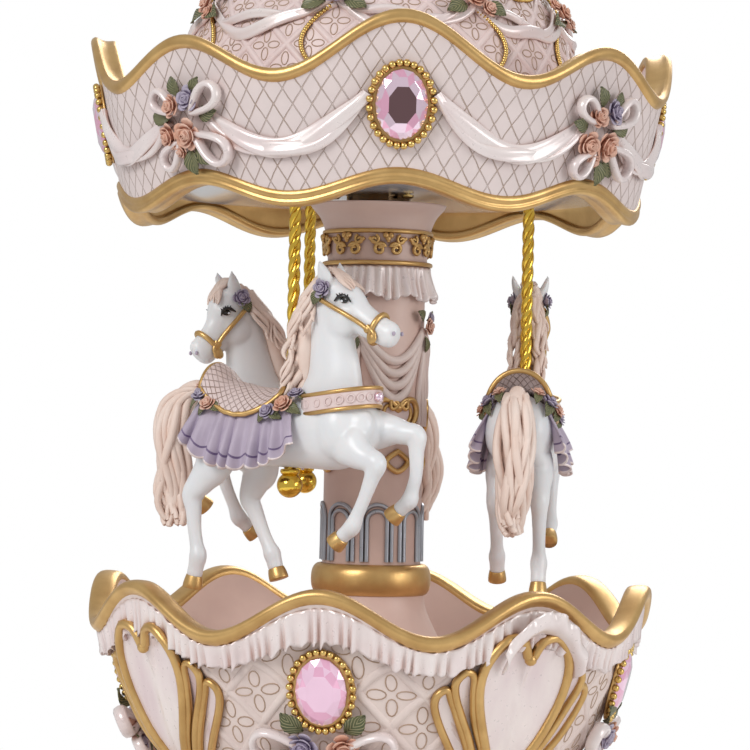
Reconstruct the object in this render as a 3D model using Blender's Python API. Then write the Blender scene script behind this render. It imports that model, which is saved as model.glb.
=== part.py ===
"""Wind-up carousel music box: a bowl on a foot, a column, a turning canopy and three horses on brass poles.

All sizes below are in millimetres, and MM turns them into metres. The origin is the centre of the felt's
underside, +Z is up, and angles run anticlockwise seen from above, from the front (-Y).
"""
import math

import bmesh
import bpy
from mathutils import Matrix, Vector

MM = 0.001
GAP = 0.3              # between pieces that touch or are glued
RUN = 0.3              # round a shaft that turns

# Foot and bowl
FELT_THICKNESS = 1.5
FOOT_RADIUS = 58.0
WAIST_RADIUS = 45.0
WAIST_HEIGHT = 19.0
BOWL_RADIUS = 86.5     # outside of the rim
BOWL_RIM_HEIGHT = 84.0  # the rim's mean height
BOWL_WAVE = 6.5        # half the rise and fall of the rim
BOWL_WALL = 6.5
FLOOR_HEIGHT = 50.0    # top of the stage floor
FLOOR_THICKNESS = 4.0
FLOOR_HOLE_RADIUS = 10.0
WELL_RADIUS = 39.5     # opening that the movement goes in through
COVER_HEIGHT = 13.3    # underside of the bottom cover
COVER_THICKNESS = 2.7
COVER_LIP = 3.5        # how far the cover reaches past the opening

# Column
COLUMN_HEIGHT = 157.8
COLUMN_RADIUS = 15.3
COLUMN_BORE = 3.6
SKIRT_RADIUS = 46.0
TORUS_RADIUS = 17.5
TORUS_HEIGHT = 41.2    # above the stage floor
CAPITAL_RADIUS = 21.1

# Canopy
LOBES = 8
LOBE_STEPS = 5
CANOPY_TURN = 4.0      # degrees from the front to the middle of a jewelled lobe
BOWL_TURN = -10.0
CANOPY_RADIUS = 89.4   # top rim
VALANCE_FLARE = 8.9    # how much wider the top rim is than the bottom rim
VALANCE_HEIGHT = 39.7
VALANCE_WALL = 6.3
VALANCE_DROP = 4.3     # how far the bottom rim hangs below the plate
TOP_WAVE = 7.0
TOP_WAVE_JEWEL = 3.05  # how much higher the jewelled lobes stand
BOTTOM_WAVE = 3.5
DECK_DEPTH = 9.7       # below the mean top rim
DECK_THICKNESS = 3.0
PLATE_THICKNESS = 3.0
PLATE_LEDGE = 4.0
DOME_RADIUS = 62.5
DOME_HEIGHT = 61.5
DOME_WALL = 3.5
FINIAL_HEIGHT = 14.5
FINIAL_RADIUS = 6.8

# Shaft and hub
SHAFT_RADIUS = 2.0
HUB_RADIUS = 10.0
HUB_FLANGE = 18.0
HUB_FLANGE_THICKNESS = 2.4
HUB_GAP = 0.6          # between the column's top and the hub
HUB_BOSS = 2.4         # how much of the hub shows under the plate
BUSH_RADIUS = 4.6
BUSH_LENGTH = 8.0
NUT_WIDTH = 8.0

# Poles and horses
POLE_RING = 47.0
POLE_RADIUS = 1.9
POLE_ANGLES = (-32.0, 88.0, 208.0)
POLE_DROP = 90.3       # plate underside to the middle of a ball
BALL_RADIUS = 3.9
HORSE_SCALE = 1.0
HORSE_CLEAR = 0.35

# Jewels and rose clusters
JEWEL_WIDTH = 21.0
JEWEL_HEIGHT = 27.0
JEWEL_THICKNESS = 4.5
ROSES_WIDTH = 22.0
ROSES_THICKNESS = 7.0

# Movement
ARBOR_RADIUS = 2.5
BEDPLATE_THICKNESS = 2.5
CROWN_TEETH = 36
PINION_TEETH = 12
CROWN_RADIUS = 12.0    # pitch radius
BARREL_HEIGHT = 11.3
DRUM_RADIUS = 6.5
DRUM_LENGTH = 13.0
DRUM_AXLE = 0.9
GEAR_TEETH = 32
GOVERNOR_PINION_TEETH = 8
GEAR_MODULE = 0.45
WORM_WHEEL_TEETH = 20
WORM_WHEEL_MODULE = 0.42
WORM_RADIUS = 1.3
TOOTH_DEPTH = 1.15
COMB_TEETH = 16
COMB_THICKNESS = 0.9
COMB_ROOT = -14.0      # y where the teeth start
COMB_BACK = -21.0      # y of the comb's back edge
COMB_CLEAR = 0.8       # from the teeth's tips to the drum
WORM_WHEEL_WIDTH = 1.4
FLY_SPAN = 8.4
FLY_LOW = 6.0          # above the axles
FLY_HEIGHT = 6.0
FLY_THICKNESS = 0.8
KEY_SPAN = 27.0
KEY_THICKNESS = 3.0

# Heights and places that follow from the sizes above
COVER_TOP = COVER_HEIGHT + COVER_THICKNESS
BEDPLATE_TOP = COVER_TOP + GAP + BEDPLATE_THICKNESS
MODULE = 2 * CROWN_RADIUS / CROWN_TEETH
PINION_RADIUS = MODULE * PINION_TEETH / 2
GEAR_RADIUS = GEAR_MODULE * GEAR_TEETH / 2
AXLE_HEIGHT = BEDPLATE_TOP + max(GEAR_RADIUS + GEAR_MODULE, DRUM_RADIUS) + 0.8
CROWN_INNER = CROWN_RADIUS - 1.1
CROWN_OUTER = CROWN_RADIUS + 1.1
CROWN_ROOT = AXLE_HEIGHT + PINION_RADIUS + 0.6
BARREL_TOP = CROWN_ROOT + BARREL_HEIGHT
DRUM_START = CROWN_OUTER + 1.4
GEAR_START = DRUM_START + DRUM_LENGTH + 0.5
GEAR_WIDTH = 1.2
EAR_START = GEAR_START + GEAR_WIDTH + 0.6
EAR_WIDTH = 1.6
GOVERNOR_Y = GEAR_RADIUS + GEAR_MODULE * GOVERNOR_PINION_TEETH / 2
WORM_WHEEL_RADIUS = WORM_WHEEL_MODULE * WORM_WHEEL_TEETH / 2
WORM_X = EAR_START + 0.8
WORM_Y = GOVERNOR_Y + WORM_WHEEL_RADIUS + WORM_RADIUS
COLUMN_TOP = FLOOR_HEIGHT + COLUMN_HEIGHT
PLATE_BOTTOM = COLUMN_TOP + HUB_GAP + HUB_BOSS
PLATE_TOP = PLATE_BOTTOM + PLATE_THICKNESS
RIM_BOTTOM = PLATE_BOTTOM - VALANCE_DROP
RIM_TOP = RIM_BOTTOM + VALANCE_HEIGHT
DECK_TOP = RIM_TOP - DECK_DEPTH
RIM_BOTTOM_RADIUS = CANOPY_RADIUS - VALANCE_FLARE
PLATE_RADIUS = RIM_BOTTOM_RADIUS - VALANCE_WALL - 1.6
DOME_BASE = DECK_TOP + GAP
DOME_TOP = DOME_BASE + DOME_HEIGHT
BALL_HEIGHT = PLATE_BOTTOM - POLE_DROP
FOOT_BOTTOM = FELT_THICKNESS + GAP

COLOURS = {
    "resin": ((0.80, 0.62, 0.58), 0.45, 0.0),
    "gold": ((0.72, 0.50, 0.20), 0.35, 0.8),
    "white": ((0.85, 0.85, 0.88), 0.35, 0.0),
    "brass": ((0.83, 0.62, 0.16), 0.2, 1.0),
    "bronze": ((0.22, 0.15, 0.09), 0.35, 1.0),
    "steel": ((0.62, 0.63, 0.65), 0.3, 1.0),
    "jewel": ((0.88, 0.42, 0.58), 0.05, 0.0),
    "rose": ((0.72, 0.42, 0.36), 0.5, 0.0),
    "felt": ((0.18, 0.10, 0.10), 0.95, 0.0),
    "board": ((0.70, 0.66, 0.62), 0.6, 0.0),
}


def material(name):
    """The named material, made the first time it is asked for."""
    found = bpy.data.materials.get(name)
    if found:
        return found
    colour, roughness, metallic = COLOURS[name]
    made = bpy.data.materials.new(name)
    made.use_nodes = True
    shader = made.node_tree.nodes["Principled BSDF"]
    shader.inputs["Base Color"].default_value = (*colour, 1)
    shader.inputs["Roughness"].default_value = roughness
    shader.inputs["Metallic"].default_value = metallic
    return made


def body(name, bm, look="resin"):
    """An object named name from a bmesh in millimetres, in place."""
    bmesh.ops.remove_doubles(bm, verts=bm.verts, dist=1e-5)
    bmesh.ops.recalc_face_normals(bm, faces=bm.faces)
    mesh = bpy.data.meshes.new(name)
    bm.to_mesh(mesh)
    bm.free()
    mesh.materials.append(material(look))
    made = bpy.data.objects.new(name, mesh)
    bpy.context.scene.collection.objects.link(made)
    return made


def boolean(target, tool, operation):
    """Joins tool to target, or cuts it from target, and removes tool."""
    modifier = target.modifiers.new(operation, "BOOLEAN")
    modifier.operation = operation
    modifier.object = tool
    bpy.context.view_layer.update()
    depsgraph = bpy.context.evaluated_depsgraph_get()
    result = bpy.data.meshes.new_from_object(target.evaluated_get(depsgraph))
    target.modifiers.remove(modifier)
    old = target.data
    target.data = result
    bpy.data.meshes.remove(old)
    bpy.data.objects.remove(tool)
    return target


def joined(target, *tools):
    for tool in tools:
        boolean(target, tool, "UNION")
    return target


def cut(target, *tools):
    for tool in tools:
        boolean(target, tool, "DIFFERENCE")
    return target


def polar(radius, degrees, height=0.0):
    """A point at an angle from the front, anticlockwise seen from above."""
    turn = math.radians(degrees)
    return Vector((radius * math.sin(turn), -radius * math.cos(turn), height))


def turned(profile, steps=32, turn=0.0):
    """A bmesh of a closed profile of (radius, height) points turned round Z."""
    bm = bmesh.new()
    start = Matrix.Rotation(turn, 4, "Z")
    verts = [bm.verts.new(start @ Vector((r, 0, z))) for r, z in profile]
    on_axis = profile[0][0] == 0 and profile[-1][0] == 0
    ends = len(verts) if not on_axis else len(verts) - 1
    edges = [bm.edges.new((verts[i], verts[(i + 1) % len(verts)])) for i in range(ends)]
    bmesh.ops.spin(
        bm, geom=verts + edges, cent=(0, 0, 0), axis=(0, 0, 1),
        angle=2 * math.pi, steps=steps, use_merge=True,
    )
    bmesh.ops.remove_doubles(bm, verts=bm.verts, dist=1e-4)
    return bm


def rod(radius, low, high, steps=12, x=0.0, y=0.0):
    """A bmesh of an upright cylinder."""
    bm = turned([(0, low), (radius, low), (radius, high), (0, high)], steps)
    bmesh.ops.translate(bm, verts=bm.verts, vec=(x, y, 0))
    return bm


def block(low, high):
    """A bmesh of a box between two corners."""
    bm = bmesh.new()
    bmesh.ops.create_cube(bm, size=1)
    size = [h - l for l, h in zip(low, high)]
    middle = [(h + l) / 2 for l, h in zip(low, high)]
    bmesh.ops.scale(bm, verts=bm.verts, vec=size)
    bmesh.ops.translate(bm, verts=bm.verts, vec=middle)
    return bm


def slab(outline, low, high):
    """A bmesh of a flat outline of (x, y) points between two heights."""
    bm = bmesh.new()
    face = bm.faces.new([bm.verts.new((x, y, low)) for x, y in outline])
    grown = bmesh.ops.extrude_face_region(bm, geom=[face])
    moved = [v for v in grown["geom"] if isinstance(v, bmesh.types.BMVert)]
    bmesh.ops.translate(bm, verts=moved, vec=(0, 0, high - low))
    return bm


def gear(radius, module, teeth, low, high, phase=0.0):
    """A bmesh of a spur gear round Z, with a tooth's middle at phase."""
    outline = []
    pitch = 2 * math.pi / teeth
    for i in range(teeth):
        middle = phase + i * pitch
        for share, offset in ((-0.27, -1.2), (-0.12, 0.75), (0.12, 0.75), (0.27, -1.2)):
            angle = middle + share * pitch
            reach = radius + offset * module
            outline.append((reach * math.cos(angle), reach * math.sin(angle)))
    return slab(outline, low, high)


def along_x(bm, x, y, z):
    """Turns a bmesh made round Z so that it lies round X, and moves it."""
    bmesh.ops.rotate(bm, verts=bm.verts, cent=(0, 0, 0), matrix=Matrix.Rotation(math.pi / 2, 3, "Y"))
    bmesh.ops.translate(bm, verts=bm.verts, vec=(x, y, z))
    return bm


def lobe_wave(x, y, turn, jewel_share=0.0):
    """1 on the lobes' middles and -1 between them, and a little more on the jewelled ones."""
    angle = math.atan2(x, -y) - math.radians(turn)
    return math.cos(LOBES * angle) + jewel_share * math.cos(LOBES / 2 * angle)


def bowl_casting():
    """Foot, bowl and stage floor: one hollow resin casting with a scalloped rim."""
    rim = BOWL_RIM_HEIGHT
    depth = rim - WAIST_HEIGHT
    belly = BOWL_RADIUS - WAIST_RADIUS
    seat = WELL_RADIUS + COVER_LIP + GAP
    under = FLOOR_HEIGHT - FLOOR_THICKNESS
    shelf = COVER_TOP + GAP
    profile = [
        (FOOT_RADIUS - 8, FOOT_BOTTOM),
        (FOOT_RADIUS, FOOT_BOTTOM),
        (FOOT_RADIUS + 0.5, FOOT_BOTTOM + 4),
        (FOOT_RADIUS - 4, FOOT_BOTTOM + 9),
        (WAIST_RADIUS + 3, shelf - 1),
        (WAIST_RADIUS, WAIST_HEIGHT),
        (WAIST_RADIUS + 0.1 * belly, WAIST_HEIGHT + 0.1 * depth),
        (WAIST_RADIUS + 0.43 * belly, WAIST_HEIGHT + 0.26 * depth),
        (WAIST_RADIUS + 0.6 * belly, WAIST_HEIGHT + 0.4 * depth),
        (WAIST_RADIUS + 0.72 * belly, WAIST_HEIGHT + 0.58 * depth),
        (WAIST_RADIUS + 0.86 * belly, WAIST_HEIGHT + 0.83 * depth),
        (BOWL_RADIUS, rim - 1.5),
        (BOWL_RADIUS - 1.5, rim),
        (BOWL_RADIUS - BOWL_WALL, rim),
        (BOWL_RADIUS - BOWL_WALL - 4, rim - 10),
        (WAIST_RADIUS + 0.58 * belly, FLOOR_HEIGHT + 6),
        (WAIST_RADIUS + 0.46 * belly, FLOOR_HEIGHT),
        (FLOOR_HOLE_RADIUS, FLOOR_HEIGHT),
        (FLOOR_HOLE_RADIUS, under),
        (WELL_RADIUS + 5, under),
        (WELL_RADIUS, WAIST_HEIGHT + 8),
        (WELL_RADIUS, shelf),
        (seat, shelf),
        (seat, COVER_HEIGHT - 0.5),
    ]
    bm = turned(profile, LOBES * LOBE_STEPS, math.radians(BOWL_TURN))
    low, high = FLOOR_HEIGHT + 8, rim
    for v in bm.verts:
        if math.hypot(v.co.x, v.co.y) > seat:
            share = max(0.0, min(1.0, (v.co.z - low) / (high - low - 2)))
            v.co.z += BOWL_WAVE * share * lobe_wave(v.co.x, v.co.y, BOWL_TURN)
    return body("bowl_casting", bm)


def column_casting():
    """Skirt, torus, shaft and capital, with a bore for the drive shaft and a pocket for its bush."""
    foot = FLOOR_HEIGHT + GAP
    ring = FLOOR_HEIGHT + TORUS_HEIGHT
    top = COLUMN_TOP
    pocket = BUSH_RADIUS + GAP
    spread = SKIRT_RADIUS - COLUMN_RADIUS
    profile = [
        (SKIRT_RADIUS, foot),
        (SKIRT_RADIUS - 0.3 * spread, foot + 6),
        (SKIRT_RADIUS - 0.65 * spread, foot + 16),
        (SKIRT_RADIUS - 0.82 * spread, foot + 25),
        (COLUMN_RADIUS + 0.5, ring - 6),
        (TORUS_RADIUS, ring - 3),
        (TORUS_RADIUS, ring + 3),
        (COLUMN_RADIUS, ring + 6),
        (COLUMN_RADIUS - 0.5, top - 31),
        (COLUMN_RADIUS + 2.2, top - 29),
        (COLUMN_RADIUS + 0.8, top - 19),
        (COLUMN_RADIUS + 1.3, top - 10),
        (CAPITAL_RADIUS, top),
        (pocket, top),
        (pocket, top - BUSH_LENGTH - GAP),
        (COLUMN_BORE, top - BUSH_LENGTH - GAP),
        (COLUMN_BORE, ring - 8),
        (FLOOR_HOLE_RADIUS, foot + 18),
        (SKIRT_RADIUS - 8, foot),
    ]
    return body("column_casting", turned(profile, 20))


def felt_ring():
    low, high = FOOT_RADIUS - 8, FOOT_RADIUS - 1.5
    profile = [(low, 0), (high, 0), (high, FELT_THICKNESS), (low, FELT_THICKNESS)]
    return body("felt_ring", turned(profile, 24), "felt")


def screw(name, x, y, head_low, head_radius, shank_radius, length, look="brass"):
    """A pan-head screw that points up, or down where length is negative."""
    tall = 1.1 * math.copysign(1, length)
    profile = [
        (0, head_low), (head_radius * 0.7, head_low), (head_radius, head_low + 0.5 * tall),
        (head_radius, head_low + tall), (shank_radius, head_low + tall),
        (shank_radius, head_low + tall + length), (0, head_low + tall + length),
    ]
    bm = turned(profile, 8)
    bmesh.ops.translate(bm, verts=bm.verts, vec=(x, y, 0))
    return body(name, bm, look)


def cover_screw_places():
    radius = WELL_RADIUS + COVER_LIP / 2 + 0.1
    return [polar(radius, 60 + 120 * i) for i in range(3)]


def movement_screw_places():
    reach = 0.5 * KEY_SPAN + 4.5
    return [polar(reach, angle) for angle in (-48, -132)]


def bottom_cover():
    """The board that closes the foot, with holes for the winding arbor and the screws."""
    radius = WELL_RADIUS + COVER_LIP
    hole = ARBOR_RADIUS + RUN
    profile = [(hole, COVER_HEIGHT), (radius, COVER_HEIGHT), (radius, COVER_TOP), (hole, COVER_TOP)]
    made = body("bottom_cover", turned(profile, 24), "board")
    for place in movement_screw_places():
        cut(made, body("hole", rod(1.3, 0, COVER_TOP + 5, 10, place.x, place.y)))
    for place in cover_screw_places():
        cut(made, body("hole", rod(1.0, 0, COVER_TOP + 5, 10, place.x, place.y)))
    return made


def cover_screws():
    shelf_depth = 3.0
    bowl = bpy.data.objects["bowl_casting"]
    for i, place in enumerate(cover_screw_places()):
        shank = COVER_THICKNESS + GAP + shelf_depth
        screw(f"cover_screw_{i + 1}", place.x, place.y, COVER_HEIGHT - 1.4, 1.45, 0.7, shank)
        high = COVER_TOP + shelf_depth + 1.2
        cut(bowl, body("hole", rod(1.0, COVER_TOP - 1, high, 10, place.x, place.y)))


def on_wall(bm, angle, radius, height, lean):
    """Stands a bmesh made flat on XY against a wall: its Z points out and lean turns it down."""
    turn = math.radians(angle)
    outward = Vector((math.sin(turn), -math.cos(turn), 0))
    across = Vector((math.cos(turn), math.sin(turn), 0))
    normal = outward * math.cos(lean) - Vector((0, 0, 1)) * math.sin(lean)
    upward = normal.cross(across)
    frame = Matrix((across, upward, normal)).transposed().to_4x4()
    frame.translation = polar(radius, angle, height)
    bmesh.ops.transform(bm, matrix=frame, verts=bm.verts)
    return bm


def jewel(name, angle, radius, height, lean):
    """An oval cut stone in its beaded mount."""
    bm = turned(
        [(0, 0), (0.5, 0), (0.5, 0.45), (0.36, 0.6), (0.22, 1.0), (0, 1.0)], 12,
    )
    bmesh.ops.scale(bm, verts=bm.verts, vec=(JEWEL_WIDTH, JEWEL_HEIGHT, JEWEL_THICKNESS))
    return body(name, on_wall(bm, angle, radius, height, lean), "jewel")


def rose_cluster(name, angle, radius, height, lean):
    """A glued-on bunch of roses and leaves, as one rounded lump with a flat back."""
    bm = turned(
        [(0, 0), (0.46, 0), (0.5, 0.25), (0.4, 0.7), (0.2, 1.0), (0, 1.0)], 8,
    )
    size = (ROSES_WIDTH, ROSES_WIDTH * 0.62, ROSES_THICKNESS)
    bmesh.ops.scale(bm, verts=bm.verts, vec=size)
    return body(name, on_wall(bm, angle, radius, height, lean), "rose")


def wall_place(low, high, share):
    """Radius, height and lean of a point a share of the way up a straight wall."""
    radius = low[0] + share * (high[0] - low[0])
    height = low[1] + share * (high[1] - low[1])
    return radius, height, math.atan2(high[0] - low[0], high[1] - low[1])


def ornaments():
    """Four jewels and four rose clusters on the bowl, and as many on the canopy."""
    belly = BOWL_RADIUS - WAIST_RADIUS
    depth = BOWL_RIM_HEIGHT - WAIST_HEIGHT
    low = (WAIST_RADIUS + 0.6 * belly, WAIST_HEIGHT + 0.4 * depth)
    high = (WAIST_RADIUS + 0.86 * belly, WAIST_HEIGHT + 0.83 * depth)
    radius, height, lean = wall_place(low, high, 0.5)
    stand = 1.0
    for i in range(LOBES // 2):
        angle = BOWL_TURN + 90 * i
        jewel(f"base_jewel_{i + 1}", angle, radius + stand, height, lean)
    drop = JEWEL_HEIGHT / 2 + ROSES_WIDTH * 0.31 + 0.2
    for i in range(LOBES // 2):
        angle = BOWL_TURN + 90 * i
        place = radius + stand + 0.4 - drop * math.sin(lean)
        rose_cluster(f"base_roses_{i + 1}", angle, place, height - drop * math.cos(lean), lean)
    low = (RIM_BOTTOM_RADIUS, RIM_BOTTOM)
    high = (CANOPY_RADIUS, RIM_TOP)
    radius, height, lean = wall_place(low, high, 0.62)
    for i in range(LOBES // 2):
        angle = CANOPY_TURN + 90 * i
        jewel(f"canopy_jewel_{i + 1}", angle, radius + stand, height, lean)
    radius, height, lean = wall_place(low, high, 0.5)
    for i in range(LOBES // 2):
        angle = CANOPY_TURN + 45 + 90 * i
        rose_cluster(f"canopy_roses_{i + 1}", angle, radius + stand, height, lean)


def valance():
    """The canopy's scalloped skirt, with a ledge for the plate and a deck for the dome."""
    ledge = PLATE_TOP + 0.4
    inside = PLATE_RADIUS + 0.6
    lean = VALANCE_FLARE / VALANCE_HEIGHT

    def wall(height):
        return RIM_BOTTOM_RADIUS - VALANCE_WALL + lean * (height - RIM_BOTTOM)

    profile = [
        (RIM_BOTTOM_RADIUS, RIM_BOTTOM),
        (CANOPY_RADIUS, RIM_TOP - 1),
        (CANOPY_RADIUS - 1, RIM_TOP),
        (CANOPY_RADIUS - VALANCE_WALL, RIM_TOP),
        (wall(DECK_TOP), DECK_TOP),
        (DOME_RADIUS - DOME_WALL - 3, DECK_TOP),
        (DOME_RADIUS - DOME_WALL - 3, DECK_TOP - DECK_THICKNESS),
        (wall(DECK_TOP - DECK_THICKNESS), DECK_TOP - DECK_THICKNESS),
        (wall(ledge + 3), ledge + 3),
        (inside - PLATE_LEDGE, ledge + 3),
        (inside - PLATE_LEDGE, ledge),
        (inside, ledge),
        (inside, PLATE_BOTTOM + 0.2),
        (RIM_BOTTOM_RADIUS - VALANCE_WALL, RIM_BOTTOM),
    ]
    bm = turned(profile, LOBES * LOBE_STEPS, math.radians(CANOPY_TURN))
    jewel_share = TOP_WAVE_JEWEL / TOP_WAVE
    for v in bm.verts:
        if v.co.z > RIM_TOP - 2:
            v.co.z += TOP_WAVE * lobe_wave(v.co.x, v.co.y, CANOPY_TURN, jewel_share)
        elif v.co.z < RIM_BOTTOM + 0.1:
            v.co.z += BOTTOM_WAVE * lobe_wave(v.co.x, v.co.y, CANOPY_TURN)
    return body("valance", bm)


def dome():
    """A hollow shell on the deck, with a hole for the finial."""
    hole = 3.4

    def shell(radius, height, steps):
        most = math.acos(hole / radius)
        points = []
        for i in range(steps + 1):
            angle = most * i / steps
            points.append((radius * math.cos(angle), DOME_BASE + height * math.sin(angle)))
        return points

    outside = shell(DOME_RADIUS, DOME_HEIGHT, 7)
    inside = shell(DOME_RADIUS - DOME_WALL, DOME_HEIGHT - DOME_WALL, 5)
    return body("dome", turned(outside + inside[::-1], 24))


def finial():
    """A small urn and ball, with a spigot in the dome."""
    low = DOME_TOP + GAP
    profile = [
        (0, low - 6), (3.0, low - 6), (3.0, low), (FINIAL_RADIUS, low),
        (FINIAL_RADIUS, low + 1.8), (FINIAL_RADIUS * 0.42, low + 3.6),
        (FINIAL_RADIUS * 0.72, low + 6.2), (FINIAL_RADIUS * 0.72, low + 9),
        (FINIAL_RADIUS * 0.4, low + 12), (0, low + FINIAL_HEIGHT),
    ]
    return body("finial", turned(profile, 12), "gold")


def hub_screw_places():
    return [polar((HUB_RADIUS + HUB_FLANGE) / 2, 40 + 120 * i) for i in range(3)]


def canopy_plate():
    """The white plate under the roof, with holes for the hub, its screws and the poles."""
    hole = HUB_RADIUS + GAP
    profile = [
        (hole, PLATE_BOTTOM), (PLATE_RADIUS, PLATE_BOTTOM), (PLATE_RADIUS, PLATE_TOP), (hole, PLATE_TOP),
    ]
    made = body("canopy_plate", turned(profile, 36), "white")
    for place in hub_screw_places():
        cut(made, body("hole", rod(1.3, PLATE_BOTTOM - 5, PLATE_TOP + 5, 8, place.x, place.y)))
    for angle in POLE_ANGLES:
        place = polar(POLE_RING, angle)
        hole = rod(POLE_RADIUS + GAP, PLATE_BOTTOM - 5, PLATE_TOP + 5, 12, place.x, place.y)
        cut(made, body("hole", hole))
    return made


def hub():
    """The bronze hub: a boss that shows under the plate, and a flange on top of it."""
    bore = SHAFT_RADIUS + GAP
    low = PLATE_BOTTOM - HUB_BOSS
    flange = PLATE_TOP + GAP
    high = flange + HUB_FLANGE_THICKNESS
    profile = [
        (bore, low), (HUB_RADIUS - 0.6, low), (HUB_RADIUS, low + 0.6), (HUB_RADIUS, flange),
        (HUB_FLANGE, flange), (HUB_FLANGE, high), (bore, high),
    ]
    made = body("hub", turned(profile, 20), "bronze")
    for i, place in enumerate(hub_screw_places()):
        cut(made, body("hole", rod(1.2, flange - 1, flange + 5, 10, place.x, place.y)))
        shank = PLATE_THICKNESS + 2 * GAP + 2.0
        screw(f"hub_screw_{i + 1}", place.x, place.y, PLATE_BOTTOM - 1.4, 1.9, 0.8, shank)
    return made


def shaft_bush():
    """A brass bush in the top of the column."""
    bore = SHAFT_RADIUS + RUN
    low = COLUMN_TOP - BUSH_LENGTH
    profile = [
        (bore, low), (BUSH_RADIUS, low), (BUSH_RADIUS, COLUMN_TOP - 0.2), (bore, COLUMN_TOP - 0.2),
    ]
    return body("shaft_bush", turned(profile, 20), "brass")


def drive_shaft():
    """The steel shaft from the spring barrel to the hub, with a collar at its foot."""
    low = BARREL_TOP + GAP
    high = PLATE_TOP + GAP + HUB_FLANGE_THICKNESS + 5.5
    collar_radius, collar_top = 4.0, low + 2.0
    profile = [
        (0, low), (collar_radius, low), (collar_radius, collar_top), (SHAFT_RADIUS, collar_top),
        (SHAFT_RADIUS, high), (0, high),
    ]
    return body("drive_shaft", turned(profile, 20), "steel")


def shaft_nut():
    """The nut that clamps the hub on the shaft."""
    low = PLATE_TOP + GAP + 2.4 + GAP
    bore = SHAFT_RADIUS + GAP
    reach = NUT_WIDTH / 2 / math.cos(math.radians(30))
    made = body("shaft_nut", rod(reach, low, low + 4, 6), "steel")
    return cut(made, body("hole", rod(bore, low - 2, low + 6, 20)))


def poles():
    """Three headed brass rods, and the balls on their lower ends."""
    stud = POLE_RADIUS * 0.55
    bottom = BALL_HEIGHT + BALL_RADIUS + GAP
    head = PLATE_TOP + GAP
    rod_profile = [
        (0, BALL_HEIGHT), (stud, BALL_HEIGHT), (stud, bottom), (POLE_RADIUS, bottom),
        (POLE_RADIUS, head), (POLE_RADIUS * 1.7, head), (POLE_RADIUS * 1.7, head + 1.8), (0, head + 1.8),
    ]
    bore = stud + GAP
    start = math.asin(bore / BALL_RADIUS)
    steps = 6
    ball_profile = [(0, BALL_HEIGHT - GAP), (bore, BALL_HEIGHT - GAP)]
    for i in range(steps + 1):
        angle = start + (math.pi - start) * i / steps
        reach = BALL_RADIUS * math.sin(angle) if i < steps else 0
        ball_profile.append((reach, BALL_HEIGHT + BALL_RADIUS * math.cos(angle)))
    for i, angle in enumerate(POLE_ANGLES):
        place = polar(POLE_RING, angle)
        for name, profile in (("pole", rod_profile), ("pole_ball", ball_profile)):
            bm = turned(profile, 10)
            bmesh.ops.translate(bm, verts=bm.verts, vec=place)
            body(f"{name}_{i + 1}", bm, "brass")


# Horses. Each limb is a list of (ahead, left, up, half height, half width) in millimetres, from the pole
# and the ball's middle, with the horse facing +X.
TORSO = (
    (-33.0, 0, 21.0, 3.5, 3.5), (-30.0, 0, 20.0, 8.0, 7.0), (-22.0, 0, 18.0, 11.5, 9.5),
    (-8.0, 0, 15.5, 11.0, 9.5), (6.0, 0, 15.5, 11.2, 9.5), (17.0, 0, 16.0, 12.5, 9.5),
    (25.0, 0, 18.5, 10.0, 7.5), (29.5, 0, 20.0, 5.0, 4.0),
)
NECK = (
    (13.0, 0, 20.0, 12.0, 7.5), (15.5, 0, 31.0, 9.0, 5.6), (15.0, 0, 41.0, 7.5, 4.6),
    (14.5, 0, 50.0, 6.4, 4.4), (15.5, 0, 56.5, 5.4, 4.0),
)
HEAD = (
    (10.5, 0, 58.0, 3.0, 3.0), (14.5, 0, 56.0, 6.0, 4.4), (20.5, 0, 51.5, 6.6, 4.8),
    (27.0, 0, 48.0, 4.6, 3.6), (33.0, 0, 45.0, 4.0, 3.2), (36.0, 0, 43.5, 2.2, 2.0),
)
MANE = (
    (12.0, 0, 62.5, 2.0, 2.0), (7.5, 0, 58.0, 3.6, 3.4), (5.5, 0, 49.0, 3.8, 4.0),
    (5.5, 0, 39.0, 3.6, 4.2), (6.0, 0, 30.0, 2.0, 2.6),
)
TAIL = (
    (-26.0, 0, 22.5, 2.4, 2.4), (-33.0, 0, 28.5, 3.0, 2.6), (-41.5, 0, 24.0, 3.4, 3.2),
    (-43.5, 0, 10.0, 3.8, 3.6), (-43.5, 0, -4.0, 3.6, 3.4), (-41.0, 0, -14.0, 1.4, 1.4),
)
SADDLE = (
    (-24.0, 0, 33.5, 1.5, 5.0), (-19.0, 0, 29.0, 4.5, 8.5), (-10.0, 0, 25.5, 4.5, 9.5),
    (-2.0, 0, 25.5, 4.0, 6.5), (5.0, 0, 24.0, 3.5, 4.0),
)
EAR = ((13.0, 2.6, 59.0, 2.2, 1.6), (12.6, 3.6, 62.5, 1.9, 1.4), (11.8, 4.4, 66.0, 0.5, 0.5))
FORE_NEAR = (
    (22.0, 5.0, 14.0, 8.0, 5.0), (28.0, 6.0, 10.0, 5.2, 4.2), (35.0, 7.0, 7.0, 3.1, 3.0),
    (31.0, 7.0, -3.0, 2.6, 2.4), (27.0, 7.0, -11.5, 2.5, 2.4), (22.5, 7.0, -15.5, 3.0, 2.8),
)
FORE_FAR = (
    (22.0, 5.0, 17.0, 8.0, 5.0), (32.0, 6.0, 17.0, 4.6, 4.0), (40.0, 7.0, 15.5, 3.0, 2.9),
    (40.0, 7.0, 4.0, 2.6, 2.4), (38.0, 7.0, -3.5, 2.5, 2.4), (33.5, 7.0, -7.5, 3.0, 2.8),
)
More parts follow.
